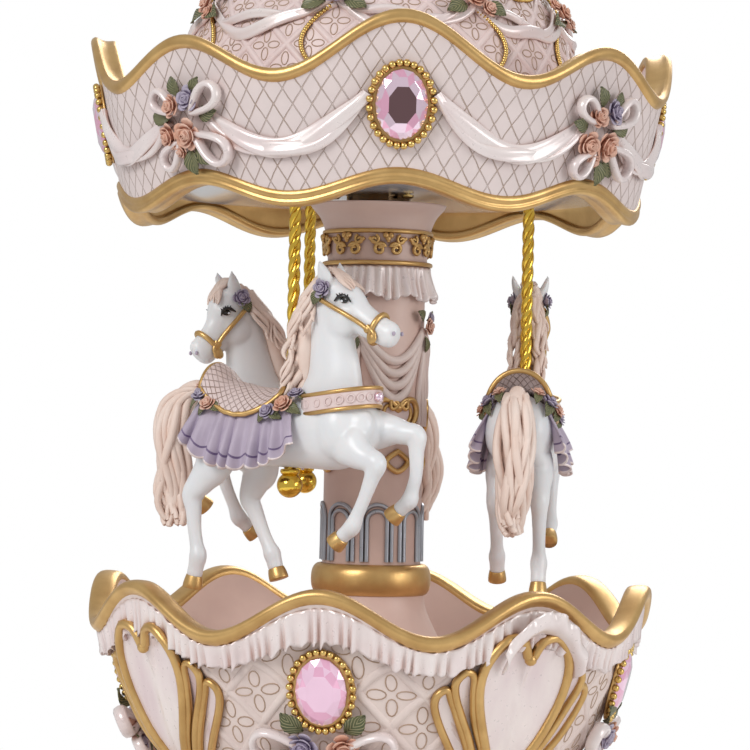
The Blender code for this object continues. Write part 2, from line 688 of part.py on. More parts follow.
HIND_NEAR = (
    (-22.0, 4.0, 15.0, 9.5, 5.5), (-23.5, 6.0, 6.0, 6.5, 4.8), (-30.5, 7.0, -3.5, 3.6, 3.2),
    (-29.5, 7.0, -14.0, 2.7, 2.5), (-28.0, 7.0, -22.0, 2.6, 2.5), (-29.5, 7.0, -29.5, 3.3, 3.0),
)
HIND_FAR = (
    (-20.0, 4.0, 15.0, 9.5, 5.5), (-15.0, 6.0, 5.0, 6.5, 4.8), (-19.0, 7.0, -4.5, 3.6, 3.2),
    (-14.0, 7.0, -14.5, 2.7, 2.5), (-10.5, 7.0, -21.0, 2.6, 2.5), (-8.5, 7.0, -26.5, 3.3, 3.0),
)
HIND_RAISED = (
    (-22.0, 4.0, 15.0, 9.5, 5.5), (-22.0, 6.0, 6.0, 6.5, 4.8), (-29.0, 7.0, -2.0, 3.6, 3.2),
    (-34.0, 7.0, -8.5, 2.7, 2.5), (-36.5, 7.0, -13.0, 2.6, 2.5), (-35.0, 7.0, -18.0, 3.0, 2.8),
)
HORSES = (
    {
        "name": "horse_1", "yaw": 0.0, "nod": 0.0, "lean": 0.0,
        "right": (FORE_NEAR, HIND_NEAR), "left": (FORE_FAR, HIND_FAR),
    },
    {
        "name": "horse_2", "yaw": -4.5, "nod": 6.0, "lean": 0.0,
        "right": (FORE_NEAR, HIND_NEAR), "left": (FORE_FAR, HIND_FAR),
    },
    {
        "name": "horse_3", "yaw": 0.0, "nod": 13.0, "lean": 0.33,
        "right": (FORE_FAR, HIND_RAISED), "left": (FORE_NEAR, HIND_FAR),
    },
)
LIMB_SIDES = 6
NECK_FOOT = 20.0       # height above the ball where a leaning neck starts
SKIRT_SIZES = ((21.0, 16.0, 8.5), (13.0, 17.5, 10.5), (4.8, 19.5, 13.0))
SKIRT_MIDDLE = -10.5


def limb(points, side=1.0, nod=0.0, lean=0.0):
    """A closed tube through a limb's points; nod turns it down about the poll, lean slants the neck ahead."""
    bm = bmesh.new()
    poll = Vector((14.0, 0, 56.0))
    tip = Matrix.Rotation(math.radians(nod), 3, "Y")
    middles = [tip @ (Vector((x, side * y, z)) - poll) + poll for x, y, z, _, _ in points]
    for middle in middles:
        middle.x += lean * max(0.0, middle.z - NECK_FOOT)
    rings = []
    for i, (middle, point) in enumerate(zip(middles, points)):
        ahead = middles[min(i + 1, len(points) - 1)] - middles[max(i - 1, 0)]
        ahead.normalize()
        across = Vector((0, 1, 0))
        upward = ahead.cross(across).normalized()
        ring = []
        for k in range(LIMB_SIDES):
            angle = 2 * math.pi * k / LIMB_SIDES
            offset = upward * (point[3] * math.cos(angle)) + across * (point[4] * math.sin(angle))
            ring.append(bm.verts.new(middle + offset))
        rings.append(ring)
    for low, high in zip(rings, rings[1:]):
        for k in range(LIMB_SIDES):
            after = (k + 1) % LIMB_SIDES
            bm.faces.new((low[k], low[after], high[after], high[k]))
    bm.faces.new(rings[0])
    bm.faces.new(rings[-1][::-1])
    return bm


def skirt():
    """The saddle cloth's flared skirt, as one oval drum."""
    bm = bmesh.new()
    rings = []
    for height, long, wide in SKIRT_SIZES:
        ring = []
        for k in range(16):
            angle = 2 * math.pi * k / 16
            ring.append(bm.verts.new((SKIRT_MIDDLE + long * math.cos(angle), wide * math.sin(angle), height)))
        rings.append(ring)
    for low, high in zip(rings, rings[1:]):
        for k in range(16):
            after = (k + 1) % 16
            bm.faces.new((low[k], low[after], high[after], high[k]))
    bm.faces.new(rings[0])
    bm.faces.new(rings[-1][::-1])
    return bm


def horse(kind, angle):
    """One resin horse, with its saddle and skirt, bored for its pole."""
    made = body(kind["name"], limb(TORSO), "white")
    lean = kind["lean"]
    parts = [limb(NECK, lean=lean), limb(HEAD, 1, kind["nod"], lean), limb(MANE, lean=lean)]
    parts += [limb(TAIL), limb(SADDLE), skirt()]
    parts += [limb(EAR, 1, lean=lean), limb(EAR, -1, lean=lean)]
    parts += [limb(leg, -1) for leg in kind["right"]]
    parts += [limb(leg, 1) for leg in kind["left"]]
    joined(made, *[body("limb", bm) for bm in parts])
    scale = Matrix.Scale(HORSE_SCALE, 4)
    heading = Matrix.Rotation(math.radians(angle + kind["yaw"]), 4, "Z")
    place = Matrix.Translation(polar(POLE_RING, angle, BALL_HEIGHT))
    made.data.transform(place @ heading @ scale)
    foot = polar(POLE_RING, angle)
    pole_hole = rod(POLE_RADIUS + HORSE_CLEAR, BALL_HEIGHT - 40, PLATE_BOTTOM - 1, 12, foot.x, foot.y)
    cut(made, body("hole", pole_hole))
    ball = bmesh.new()
    bmesh.ops.create_uvsphere(ball, u_segments=10, v_segments=8, radius=BALL_RADIUS + 0.6)
    bmesh.ops.translate(ball, verts=ball.verts, vec=polar(POLE_RING, angle, BALL_HEIGHT))
    return cut(made, body("hole", ball))


# Movement
def spring_barrel():
    """The spring's cup, which carries the crown teeth on its lower edge."""
    low, high = CROWN_ROOT, BARREL_TOP
    profile = [
        (CROWN_OUTER, low), (CROWN_OUTER, high - 0.6), (CROWN_OUTER - 0.6, high), (0, high),
        (0, high - 1.5), (CROWN_INNER, high - 1.5), (CROWN_INNER, low),
    ]
    half_tooth = math.pi / (2 * CROWN_TEETH)
    bm = bmesh.new()
    start = Matrix.Rotation(half_tooth, 4, "Z")
    verts = [bm.verts.new(start @ Vector((r, 0, z))) for r, z in profile]
    edges = [bm.edges.new((verts[i], verts[(i + 1) % len(verts)])) for i in range(len(verts)) if i != 3]
    steps = 2 * CROWN_TEETH
    bmesh.ops.spin(
        bm, geom=verts + edges, cent=(0, 0, 0), axis=(0, 0, 1),
        angle=2 * math.pi, steps=steps, use_merge=True,
    )
    bmesh.ops.remove_doubles(bm, verts=bm.verts, dist=1e-4)
    bmesh.ops.recalc_face_normals(bm, faces=bm.faces)
    seats = []
    for face in bm.faces:
        middle = face.calc_center_median()
        flat = abs(middle.z - low) < 1e-3 and face.normal.z < -0.9
        number = round((math.atan2(middle.y, middle.x) / (2 * math.pi)) * steps) % steps
        if flat and number % 2 == 1:
            seats.append(face)
    teeth = bmesh.ops.extrude_discrete_faces(bm, faces=seats)["faces"]
    for face in teeth:
        bmesh.ops.translate(bm, verts=face.verts, vec=(0, 0, -TOOTH_DEPTH))
        middle = face.calc_center_median()
        bmesh.ops.scale(bm, verts=face.verts, vec=(0.55, 0.55, 1), space=Matrix.Translation(-middle))
    return body("spring_barrel", bm, "brass")


def barrel_cap():
    bore = ARBOR_RADIUS + RUN
    low = CROWN_ROOT + 0.3
    outer = CROWN_INNER - GAP
    profile = [(bore, low), (outer, low), (outer, low + 1.1), (bore, low + 1.1)]
    return body("barrel_cap", turned(profile, 24), "brass")


def mainspring():
    """A flat spiral spring from the arbor to the barrel's wall."""
    low, high = CROWN_ROOT + 1.8, BARREL_TOP - 2.0
    start, end = ARBOR_RADIUS + 0.6, CROWN_INNER - 0.8
    turns, per_turn, thick = 4, 12, 0.45
    inner, outer = [], []
    for i in range(turns * per_turn + 1):
        share = i / (turns * per_turn)
        angle = 2 * math.pi * turns * share
        radius = start + (end - start) * share
        inner.append((radius * math.cos(angle), radius * math.sin(angle)))
        outer.append(((radius + thick) * math.cos(angle), (radius + thick) * math.sin(angle)))
    return body("mainspring", slab(inner + outer[::-1], low, high), "steel")


def winding_arbor():
    """The arbor from the key up through the cover and the bedplate into the spring."""
    low = COVER_HEIGHT - 6.5
    high = BARREL_TOP - 2.2
    profile = [(0, low), (ARBOR_RADIUS, low), (ARBOR_RADIUS, high), (0, high)]
    return body("winding_arbor", turned(profile, 20), "steel")


def winding_key():
    """A butterfly key: a boss with a blind hole, and two rounded wings."""
    top = COVER_HEIGHT - 0.6
    low = FELT_THICKNESS + 1.0
    boss = ARBOR_RADIUS + GAP + 1.6
    made = body("winding_key", rod(boss, low, top, 16), "brass")
    wing = (top - low) / 2 - 0.1
    middle = (top + low) / 2 - 0.05
    outline = []
    for i in range(9):
        angle = -math.pi / 2 + math.pi * i / 8
        outline.append((KEY_SPAN / 2 - wing + wing * math.cos(angle), wing * math.sin(angle)))
    waist = wing * 0.5
    outline += [(boss * 0.9, waist), (-boss * 0.9, waist)]
    outline += [(-x, -y) for x, y in outline[:9]]
    outline += [(-boss * 0.9, -waist), (boss * 0.9, -waist)]
    wings = slab(outline, -KEY_THICKNESS / 2, KEY_THICKNESS / 2)
    bmesh.ops.rotate(wings, verts=wings.verts, cent=(0, 0, 0), matrix=Matrix.Rotation(math.pi / 2, 3, "X"))
    bmesh.ops.translate(wings, verts=wings.verts, vec=(0, 0, middle))
    joined(made, body("wings", wings))
    hole = rod(ARBOR_RADIUS + GAP, COVER_HEIGHT - 6.5 - GAP, top + 2, 20)
    return cut(made, body("hole", hole))


def bedplate():
    """The movement's cast plate, with bearing ears, a comb block and holes."""
    low = COVER_TOP + GAP
    high = BEDPLATE_TOP
    end = EAR_START + EAR_WIDTH + 1.0
    outline = [
        (-21, -13), (-13, -20), (10, -20), (13, COMB_BACK - 0.5),
        (DRUM_START + DRUM_LENGTH + 1, COMB_BACK - 0.5), (end, COMB_ROOT),
        (end, 17), (end - 4, 19), (-13, 19), (-21, 13),
    ]
    made = body("bedplate", slab(outline, low, high), "steel")
    inner_ear = block((ARBOR_RADIUS + 3.2, -2.6, high - 0.5), (ARBOR_RADIUS + 5.2, 2.6, AXLE_HEIGHT + 1.9))
    outer_ear = block((EAR_START, -2.6, high - 0.5), (EAR_START + EAR_WIDTH, 2.6, AXLE_HEIGHT + 2.6))
    drum_end = DRUM_START + DRUM_LENGTH
    comb_block = block((DRUM_START, COMB_BACK, high - 0.5), (drum_end, COMB_ROOT - 0.8, comb_height() - GAP))
    joined(made, body("ear", inner_ear), body("ear", outer_ear), body("block", comb_block))
    cut(made, body("hole", rod(ARBOR_RADIUS + RUN, low - 2, high + 2, 20)))
    axle = along_x(rod(DRUM_AXLE + RUN, -2, EAR_START + 6, 12), 0, 0, AXLE_HEIGHT)
    cut(made, body("hole", axle))
    for place in movement_screw_places():
        cut(made, body("hole", rod(1.2, low - 2, high + 2, 10, place.x, place.y)))
    for x, y in comb_screw_places():
        cut(made, body("hole", rod(1.0, comb_height() - 4, comb_height() + 2, 10, x, y)))
    for x, y in bracket_screw_places():
        cut(made, body("hole", rod(1.0, low - 1, high + 2, 10, x, y)))
    return made


def comb_height():
    return AXLE_HEIGHT - COMB_THICKNESS / 2


def comb_screw_places():
    return [(DRUM_START + share * DRUM_LENGTH, -18.0) for share in (0.2, 0.8)]


def bracket_screw_places():
    return [(WORM_X - 8.5, WORM_Y)]


def comb():
    """The steel comb: its teeth reach towards the drum's pins."""
    pitch = DRUM_LENGTH / COMB_TEETH
    end = DRUM_START + DRUM_LENGTH
    tip, root = -(DRUM_RADIUS + COMB_CLEAR), COMB_ROOT
    outline = [(end, root), (end, COMB_BACK), (DRUM_START, COMB_BACK), (DRUM_START, root)]
    for i in range(COMB_TEETH):
        left = DRUM_START + (i + 0.2) * pitch
        right = DRUM_START + (i + 0.8) * pitch
        outline += [(left, root), (left, tip), (right, tip), (right, root)]
    low = comb_height()
    made = body("comb", slab(outline, low, low + COMB_THICKNESS), "steel")
    for x, y in comb_screw_places():
        cut(made, body("hole", rod(1.0, low - 3, low + 3, 10, x, y)))
    return made


def pinned_drum():
    """The pinned cylinder on its axle, with the pinion and the drive gear."""
    low = ARBOR_RADIUS + 2.8
    high = EAR_START + EAR_WIDTH + 0.8
    end = DRUM_START + DRUM_LENGTH
    profile = [
        (0, low), (DRUM_AXLE, low), (DRUM_AXLE, DRUM_START), (DRUM_RADIUS, DRUM_START), (DRUM_RADIUS, end),
        (DRUM_AXLE, end), (DRUM_AXLE, high), (0, high),
    ]
    made = body("pinned_drum", along_x(turned(profile, 24), 0, 0, AXLE_HEIGHT), "brass")
    pinion = gear(PINION_RADIUS, MODULE, PINION_TEETH, CROWN_INNER, CROWN_OUTER, phase=math.pi)
    wheel = gear(GEAR_RADIUS, GEAR_MODULE, GEAR_TEETH, GEAR_START, GEAR_START + GEAR_WIDTH, phase=math.pi / 2)
    return joined(
        made,
        body("pinion", along_x(pinion, 0, 0, AXLE_HEIGHT)),
        body("wheel", along_x(wheel, 0, 0, AXLE_HEIGHT)),
    )


def governor_wheel():
    """The pinion that the drum's gear drives, and the wheel that drives the worm."""
    start = GEAR_START - 0.2
    high = EAR_START + EAR_WIDTH + 1.6
    spindle = along_x(rod(0.7, start - 1.0, high, 10), 0, GOVERNOR_Y, AXLE_HEIGHT)
    made = body("governor_wheel", spindle, "brass")
    radius = GEAR_MODULE * GOVERNOR_PINION_TEETH / 2
    half_pitch = math.pi / GOVERNOR_PINION_TEETH
    phase = half_pitch - math.pi / 2
    pinion = gear(radius, GEAR_MODULE, GOVERNOR_PINION_TEETH, start, GEAR_START + GEAR_WIDTH, phase)
    half = WORM_WHEEL_WIDTH / 2
    wheel = gear(
        WORM_WHEEL_RADIUS, WORM_WHEEL_MODULE, WORM_WHEEL_TEETH, WORM_X - half, WORM_X + half, math.pi / 2,
    )
    return joined(
        made,
        body("pinion", along_x(pinion, 0, GOVERNOR_Y, AXLE_HEIGHT)),
        body("wheel", along_x(wheel, 0, GOVERNOR_Y, AXLE_HEIGHT)),
    )


def governor_fly():
    """The worm and the two-winged fly on its upright spindle."""
    low = AXLE_HEIGHT - 4.0
    top = AXLE_HEIGHT + 13.0
    made = body("governor_fly", rod(0.6, low - 1.6, top, 10, WORM_X, WORM_Y), "brass")
    pitch = math.pi * WORM_WHEEL_MODULE
    bm = bmesh.new()
    rings = []
    turns, around = 4, 8
    height = turns * pitch
    for i in range(turns * 6 + 1):
        z = -height / 2 + height * i / (turns * 6)
        ring = []
        for k in range(around):
            angle = 2 * math.pi * k / around
            swell = math.cos(2 * math.pi * z / pitch - angle)
            reach = WORM_RADIUS - 0.12 + 0.3 * swell
            ring.append(bm.verts.new((reach * math.cos(angle), reach * math.sin(angle), z)))
        rings.append(ring)
    for lower, upper in zip(rings, rings[1:]):
        for k in range(around):
            after = (k + 1) % around
            bm.faces.new((lower[k], lower[after], upper[after], upper[k]))
    bm.faces.new(rings[0][::-1])
    bm.faces.new(rings[-1])
    bmesh.ops.rotate(bm, verts=bm.verts, cent=(0, 0, 0), matrix=Matrix.Rotation(math.pi / 2, 3, "Z"))
    bmesh.ops.translate(bm, verts=bm.verts, vec=(WORM_X, WORM_Y, AXLE_HEIGHT))
    wing_low = AXLE_HEIGHT + FLY_LOW
    wings = block(
        (WORM_X - FLY_SPAN / 2, WORM_Y - FLY_THICKNESS / 2, wing_low),
        (WORM_X + FLY_SPAN / 2, WORM_Y + FLY_THICKNESS / 2, wing_low + FLY_HEIGHT),
    )
    return joined(made, body("worm", bm), body("wings", wings))


def governor_bracket():
    """The frame that holds the fly's two pivots and the governor wheel's axle."""
    floor = BEDPLATE_TOP + GAP
    x, y = WORM_X, WORM_Y
    low = AXLE_HEIGHT - 4.0
    top = AXLE_HEIGHT + 13.4
    back = x - 6.6
    foot = block((back - 3.4, y - 2.5, floor), (back + 1.2, y + 2.5, floor + 1.6))
    made = body("governor_bracket", foot, "steel")
    upright = block((back, y - 2.5, floor), (back + 1.2, y + 2.5, top + 1.4))
    upper = block((back, y - 1.6, top), (x + 1.8, y + 1.6, top + 1.4))
    lower = block((back, y - 1.6, low - 2.0), (x + 1.8, y + 1.6, low - 0.8))
    joined(made, body("arm", upright), body("arm", upper), body("arm", lower))
    cut(made, body("hole", rod(0.6 + RUN, low - 4, low + 3, 10, x, y)))
    hole_x, hole_y = bracket_screw_places()[0]
    return cut(made, body("hole", rod(1.0, floor - 2, floor + 4, 10, hole_x, hole_y)))


def movement_screws():
    for i, place in enumerate(movement_screw_places()):
        shank = COVER_THICKNESS + GAP + BEDPLATE_THICKNESS
        screw(f"movement_screw_{i + 1}", place.x, place.y, COVER_HEIGHT - 1.4, 2.0, 0.9, shank)
    for i, (x, y) in enumerate(comb_screw_places()):
        high = comb_height() + COMB_THICKNESS + 1.4
        screw(f"comb_screw_{i + 1}", x, y, high, 1.6, 0.7, -3.0)
    x, y = bracket_screw_places()[0]
    screw("bracket_screw", x, y, BEDPLATE_TOP + GAP + 1.6 + 1.4, 1.4, 0.7, -3.2)


def main():
    for old in list(bpy.data.objects):
        bpy.data.objects.remove(old)
    bowl_casting()
    column_casting()
    felt_ring()
    bottom_cover()
    cover_screws()
    ornaments()
    valance()
    dome()
    finial()
    canopy_plate()
    hub()
    shaft_bush()
    drive_shaft()
    shaft_nut()
    poles()
    for kind, angle in zip(HORSES, POLE_ANGLES):
        horse(kind, angle)
    spring_barrel()
    barrel_cap()
    mainspring()
    winding_arbor()
    winding_key()
    bedplate()
    comb()
    pinned_drum()
    governor_wheel()
    governor_fly()
    governor_bracket()
    movement_screws()
    for made in bpy.data.objects:
        made.data.transform(Matrix.Scale(MM, 4))
        made.data.shade_smooth()
        made.data.set_sharp_from_angle(angle=math.radians(35))


main()
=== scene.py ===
import math
import random
import bpy
import bmesh
from mathutils import Matrix, Vector


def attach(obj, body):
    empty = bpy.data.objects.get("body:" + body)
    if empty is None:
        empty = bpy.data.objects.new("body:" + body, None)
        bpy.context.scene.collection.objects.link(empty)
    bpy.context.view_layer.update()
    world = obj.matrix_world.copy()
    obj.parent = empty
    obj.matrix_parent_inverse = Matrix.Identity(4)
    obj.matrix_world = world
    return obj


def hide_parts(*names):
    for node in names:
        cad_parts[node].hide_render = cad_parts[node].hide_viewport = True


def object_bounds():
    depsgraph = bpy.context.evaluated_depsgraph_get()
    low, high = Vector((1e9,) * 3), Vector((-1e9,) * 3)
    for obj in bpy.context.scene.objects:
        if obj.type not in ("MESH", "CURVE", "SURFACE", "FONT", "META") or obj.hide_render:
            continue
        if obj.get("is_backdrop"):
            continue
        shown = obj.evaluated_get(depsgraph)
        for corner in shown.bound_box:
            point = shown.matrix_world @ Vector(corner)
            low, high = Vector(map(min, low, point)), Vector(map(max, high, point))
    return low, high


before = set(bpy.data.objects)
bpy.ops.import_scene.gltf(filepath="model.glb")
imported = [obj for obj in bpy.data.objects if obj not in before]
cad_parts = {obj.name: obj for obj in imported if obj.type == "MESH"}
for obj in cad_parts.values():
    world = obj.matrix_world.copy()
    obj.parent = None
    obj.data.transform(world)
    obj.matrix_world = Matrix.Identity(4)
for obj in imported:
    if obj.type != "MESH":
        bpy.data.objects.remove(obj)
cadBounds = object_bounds()
mm = 0.001  # new pieces are modelled in millimetres and end in metres
fullTurn = 2 * math.pi
lobes = 8
print("frame loaded:", len(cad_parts), "nodes")


def polar(radius, degrees, height=0.0):  # degrees anticlockwise from the front
    turn = math.radians(degrees)
    return Vector((radius * math.sin(turn), -radius * math.cos(turn), height))


def mix(a, b, share):
    return a + (b - a) * share


def clamp(value, low=0.0, high=1.0):
    return max(low, min(high, value))


def ease(share):
    share = clamp(share)
    return share * share * (3 - 2 * share)


def glide(points, share):  # a smooth line through points, read at a share of its way
    last = len(points) - 1
    spot = clamp(share) * last
    i = min(int(spot), last - 1)
    t = spot - i
    p0, p1, p2, p3 = (points[clamp(i + k, 0, last)] for k in (-1, 0, 1, 2))
    result = []
    for a, b, c, d in zip(p0, p1, p2, p3):
        square, cube = 2 * a - 5 * b + 4 * c - d, 3 * b - a - 3 * c + d
        result.append(0.5 * (2 * b + (c - a) * t + square * t * t + cube * t ** 3))
    return tuple(result)


def addSheet(bm, place, across, along, wrap=False, look=0):  # a grid that place(u, v) bends to shape
    uvs = bm.loops.layers.uv.verify()
    verts = bmesh.ops.create_grid(bm, x_segments=across, y_segments=along, size=0.5)["verts"]
    spots = {v: (v.co.x + 0.5, v.co.y + 0.5) for v in verts}
    for face in {f for v in verts for f in v.link_faces}:
        if callable(look):
            middle = face.calc_center_median()
            face.material_index = look(middle.x + 0.5, middle.y + 0.5)
        else:
            face.material_index = look
        face.smooth = True
        for loop in face.loops:
            loop[uvs].uv = spots[loop.vert]
    for v in verts:
        v.co = place(*spots[v])
    if wrap:
        bmesh.ops.remove_doubles(bm, verts=verts, dist=1e-4)


def addBall(bm, centre, radius, look=0, scale=(1, 1, 1), fine=1):
    verts = bmesh.ops.create_icosphere(bm, subdivisions=fine, radius=radius)["verts"]
    bmesh.ops.scale(bm, verts=verts, vec=scale)
    bmesh.ops.translate(bm, verts=verts, vec=centre)
    for face in {f for v in verts for f in v.link_faces}:
        face.material_index = look
        face.smooth = True


def settle(name, bm, body, looks, slot, replaces=(), outward=True, thick=0.0):  # turns a bmesh into a piece
    bmesh.ops.dissolve_degenerate(bm, dist=1e-5, edges=bm.edges)
    if outward:
        bmesh.ops.recalc_face_normals(bm, faces=bm.faces)
    bmesh.ops.scale(bm, verts=bm.verts, vec=(mm, mm, mm))
    mesh = bpy.data.meshes.new(name)
    bm.to_mesh(mesh)
    bm.free()
    return finishPiece(name, mesh, body, looks, slot, replaces, thick)


def finishPiece(name, mesh, body, looks, slot, replaces=(), thick=0.0):
    for look in looks:
        mesh.materials.append(look)
    piece = bpy.data.objects.new(name, mesh)
    bpy.context.scene.collection.objects.link(piece)
    if thick:
        wall = piece.modifiers.new("wall", "SOLIDIFY")
        wall.thickness = thick * mm
        wall.offset = 0
    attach(piece, body)
    if replaces:
        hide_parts(*replaces)
    return piece


# round wire on each path
def wires(name, paths, radius, body, looks, slot, closed=False, resolution=1, replaces=()):
    curve = bpy.data.curves.new(name, "CURVE")
    curve.dimensions = "3D"
    curve.bevel_depth = radius
    curve.bevel_resolution = resolution
    curve.use_fill_caps = True
    for path in paths:
        spline = curve.splines.new("POLY")
        spline.points.add(len(path) - 1)
        spline.use_cyclic_u = closed
        spline.use_smooth = True
        for point, spot in zip(spline.points, path):
            point.co = (spot[0], spot[1], spot[2], 1)
            if len(spot) > 3:
                point.radius = spot[3]
    guide = bpy.data.objects.new(name + "Guide", curve)
    bpy.context.scene.collection.objects.link(guide)
    bpy.context.view_layer.update()
    mesh = bpy.data.meshes.new_from_object(guide.evaluated_get(bpy.context.evaluated_depsgraph_get()))
    bpy.data.objects.remove(guide)
    bpy.data.curves.remove(curve)
    mesh.transform(Matrix.Scale(mm, 4))
    mesh.shade_smooth()
    mesh.materials.clear()
    return finishPiece(name, mesh, body, looks, slot, replaces)


def standOn(point):  # a frame on a surface: across, up the surface, outward
    across = (point(0.5, 0) - point(-0.5, 0)).normalized()
    up = (point(0, 0.5) - point(0, -0.5)).normalized()
    outward = across.cross(up).normalized()
    return point(0, 0), across, up, outward


def raised(surface, x, y, lift):  # a point lifted off surface(x, y) along its normal
    step = 0.05
    across = surface(x + step, y) - surface(x - step, y)
    up = surface(x, y + step) - surface(x, y - step)
    return surface(x, y) + across.cross(up).normalized() * lift


def around(surface, degrees, height, radius):  # millimetres across and up, from one spot on a turned surface
    def point(x, y, lift=0.0):
        return raised(surface, degrees + math.degrees(x / radius), height + y, lift)
    return point


def measured(points, count=80):  # the same line, read by its length
    dots = [glide(points, i / count) for i in range(count + 1)]
    reach = [0.0]
    for a, b in zip(dots, dots[1:]):
        reach.append(reach[-1] + math.dist(a, b))

    def at(distance):
        distance = clamp(distance, 0.0, reach[-1])
        i = min(max(0, next((k for k, r in enumerate(reach) if r >= distance), count) - 1), count - 1)
        t = (distance - reach[i]) / max(reach[i + 1] - reach[i], 1e-9)
        return tuple(mix(a, b, t) for a, b in zip(dots[i], dots[i + 1]))

    return at, reach[-1]


def addNode(look, kind, sockets, **settings):  # a socket takes a number, a colour or another node's output
    tree = look.node_tree
    node = tree.nodes.new("ShaderNode" + kind)
    for name, value in settings.items():
        setattr(node, name, value)
    for name, value in sockets.items():
        if isinstance(value, bpy.types.NodeSocket):
            tree.links.new(value, node.inputs[name])
        else:
            node.inputs[name].default_value = value
    return node


def addMath(look, kind, a, b):
    return addNode(look, "Math", {0: a, 1: b}, operation=kind).outputs[0]


def addTint(look, first, second, share):
    sockets = {"A": first, "B": second, "Factor": share}
    return addNode(look, "Mix", sockets, data_type="RGBA").outputs["Result"]


def addRange(look, value, low, high, toLow=0.0, toHigh=1.0, **settings):
    sockets = {"Value": value, "From Min": low, "From Max": high, "To Min": toLow, "To Max": toHigh}
    return addNode(look, "MapRange", sockets, **settings).outputs["Result"]


def newLook(name, colour, second=None, rough=0.45, spread=0.08, metal=0.0, grain=400.0, relief=0.08,
            wash=None, washAmount=0.7, washReach=1.2, coat=0.0, coatRough=0.1, sheen=0.0, soft=0.0,
            depth=0.05, streak=1.0):
    look = bpy.data.materials.new(name)
    look.use_nodes = True
    links = look.node_tree.links
    shader = look.node_tree.nodes["Principled BSDF"]
    where = look.node_tree.nodes.new("ShaderNodeTexCoord").outputs["Object"]
    brushed = where
    if streak != 1.0:  # brushed up and down
        brushed = addNode(look, "Mapping", {"Vector": where, "Scale": (1, 1, streak)}).outputs["Vector"]
    cloud = addNode(look, "TexNoise", {"Vector": brushed, "Scale": grain * 0.25, "Detail": 5}).outputs["Fac"]
    fine = addNode(look, "TexNoise", {"Vector": where, "Scale": grain * 2.5, "Detail": 3}).outputs["Fac"]
    darker = [c * 0.9 for c in colour]
    paint = addTint(look, (*colour, 1), (*(second or darker), 1), addRange(look, cloud, 0.35, 0.65))
    if wash:  # darker paint in the hollows, found by ambient occlusion: partly antique wash, partly painted shade
        hollowShade = addNode(look, "AmbientOcclusion", {"Distance": washReach * mm}, samples=6).outputs["AO"]
        paint = addTint(look, paint, (*wash, 1), addRange(look, hollowShade, 0.25, 0.85, washAmount, 0.0))
    links.new(paint, shader.inputs["Base Color"])
    gloss = addRange(look, fine, 0.0, 1.0, clamp(rough - spread), clamp(rough + spread))
    links.new(gloss, shader.inputs["Roughness"])
    bump = addNode(look, "Bump", {"Height": fine, "Strength": relief, "Distance": depth * mm})
    links.new(bump.outputs["Normal"], shader.inputs["Normal"])
    shader.inputs["Metallic"].default_value = metal
    shader.inputs["Coat Weight"].default_value = coat
    shader.inputs["Coat Roughness"].default_value = coatRough
    shader.inputs["Sheen Weight"].default_value = sheen
    shader.inputs["Subsurface Weight"].default_value = soft
    shader.inputs["Subsurface Radius"].default_value = (1.0, 0.6, 0.5)
    shader.inputs["Subsurface Scale"].default_value = 1.5 * mm
    return look


# each wash colour below is put into the hollows by ambient occlusion: antique wash and painted shade together
pinkResin = newLook("pinkResin", (0.72, 0.53, 0.46), (0.68, 0.49, 0.43), 0.42, wash=(0.38, 0.22, 0.18),
                    washAmount=0.5)
paleResin = newLook("paleResin", (0.80, 0.68, 0.63), (0.75, 0.62, 0.58), 0.45, wash=(0.46, 0.29, 0.23),
                    washAmount=0.55)
roseResin = newLook("roseResin", (0.82, 0.68, 0.66), (0.78, 0.63, 0.61), 0.45, wash=(0.48, 0.29, 0.26),
                    washAmount=0.5)
pearl = newLook("pearlPaint", (0.88, 0.80, 0.78), (0.82, 0.70, 0.69), 0.3, metal=0.15, coat=0.4, relief=0.05,
                grain=250, wash=(0.58, 0.33, 0.25), washAmount=0.85, washReach=2.2)
pearlFill = newLook("pearlFill", (0.90, 0.81, 0.78), (0.74, 0.60, 0.62), 0.3, metal=0.15, coat=0.35,
                    relief=0.05,
                    grain=260, streak=0.22)
goldPaint = newLook("goldPaint", (0.72, 0.47, 0.19), (0.60, 0.37, 0.14), 0.36, 0.1, 0.85, grain=500,
                    relief=0.25,
                    wash=(0.25, 0.12, 0.03), washAmount=0.7)
beadGold = newLook("beadGold", (0.80, 0.56, 0.20), (0.70, 0.47, 0.15), 0.25, 0.08, 0.95, grain=500,
                   relief=0.1,
                   wash=(0.22, 0.10, 0.03), washAmount=0.8, washReach=1.0)
brassPlate = newLook("brassPlate", (0.92, 0.62, 0.10), (0.86, 0.56, 0.08), 0.14, 0.05, 1.0, grain=300,
                     relief=0.05,
                     wash=(0.30, 0.16, 0.02), washAmount=0.5)
# the hub's brass, darkened: partly its own dark tone, partly painted shade from the canopy plate above
shadedBrass = newLook("darkBronze", (0.10, 0.065, 0.035), (0.14, 0.09, 0.05), 0.22, 0.08, 1.0)
steel = newLook("brightSteel", (0.58, 0.59, 0.61), (0.5, 0.5, 0.52), 0.28, 0.1, 1.0, relief=0.15)
castMetal = newLook("castMetal", (0.58, 0.55, 0.45), (0.5, 0.47, 0.4), 0.42, 0.1, 0.9, relief=0.3)
pewter = newLook("pewterPaint", (0.52, 0.54, 0.59), (0.40, 0.43, 0.48), 0.32, 0.1, 0.7, relief=0.25,
                 wash=(0.12, 0.12, 0.14))
whiteGloss = newLook("whiteGloss", (0.80, 0.82, 0.86), (0.77, 0.79, 0.84), 0.12, 0.04, coat=0.6)
horseWhite = newLook("horseWhite", (0.83, 0.83, 0.84), (0.79, 0.80, 0.82), 0.32, 0.06, soft=0.12, relief=0.05,
                     wash=(0.55, 0.53, 0.56), washAmount=0.45, washReach=1.6)
hairPeach = newLook("hairPeach", (0.88, 0.73, 0.65), (0.82, 0.63, 0.54), 0.45, wash=(0.42, 0.24, 0.17),
                    washAmount=0.75,
                    washReach=0.9)
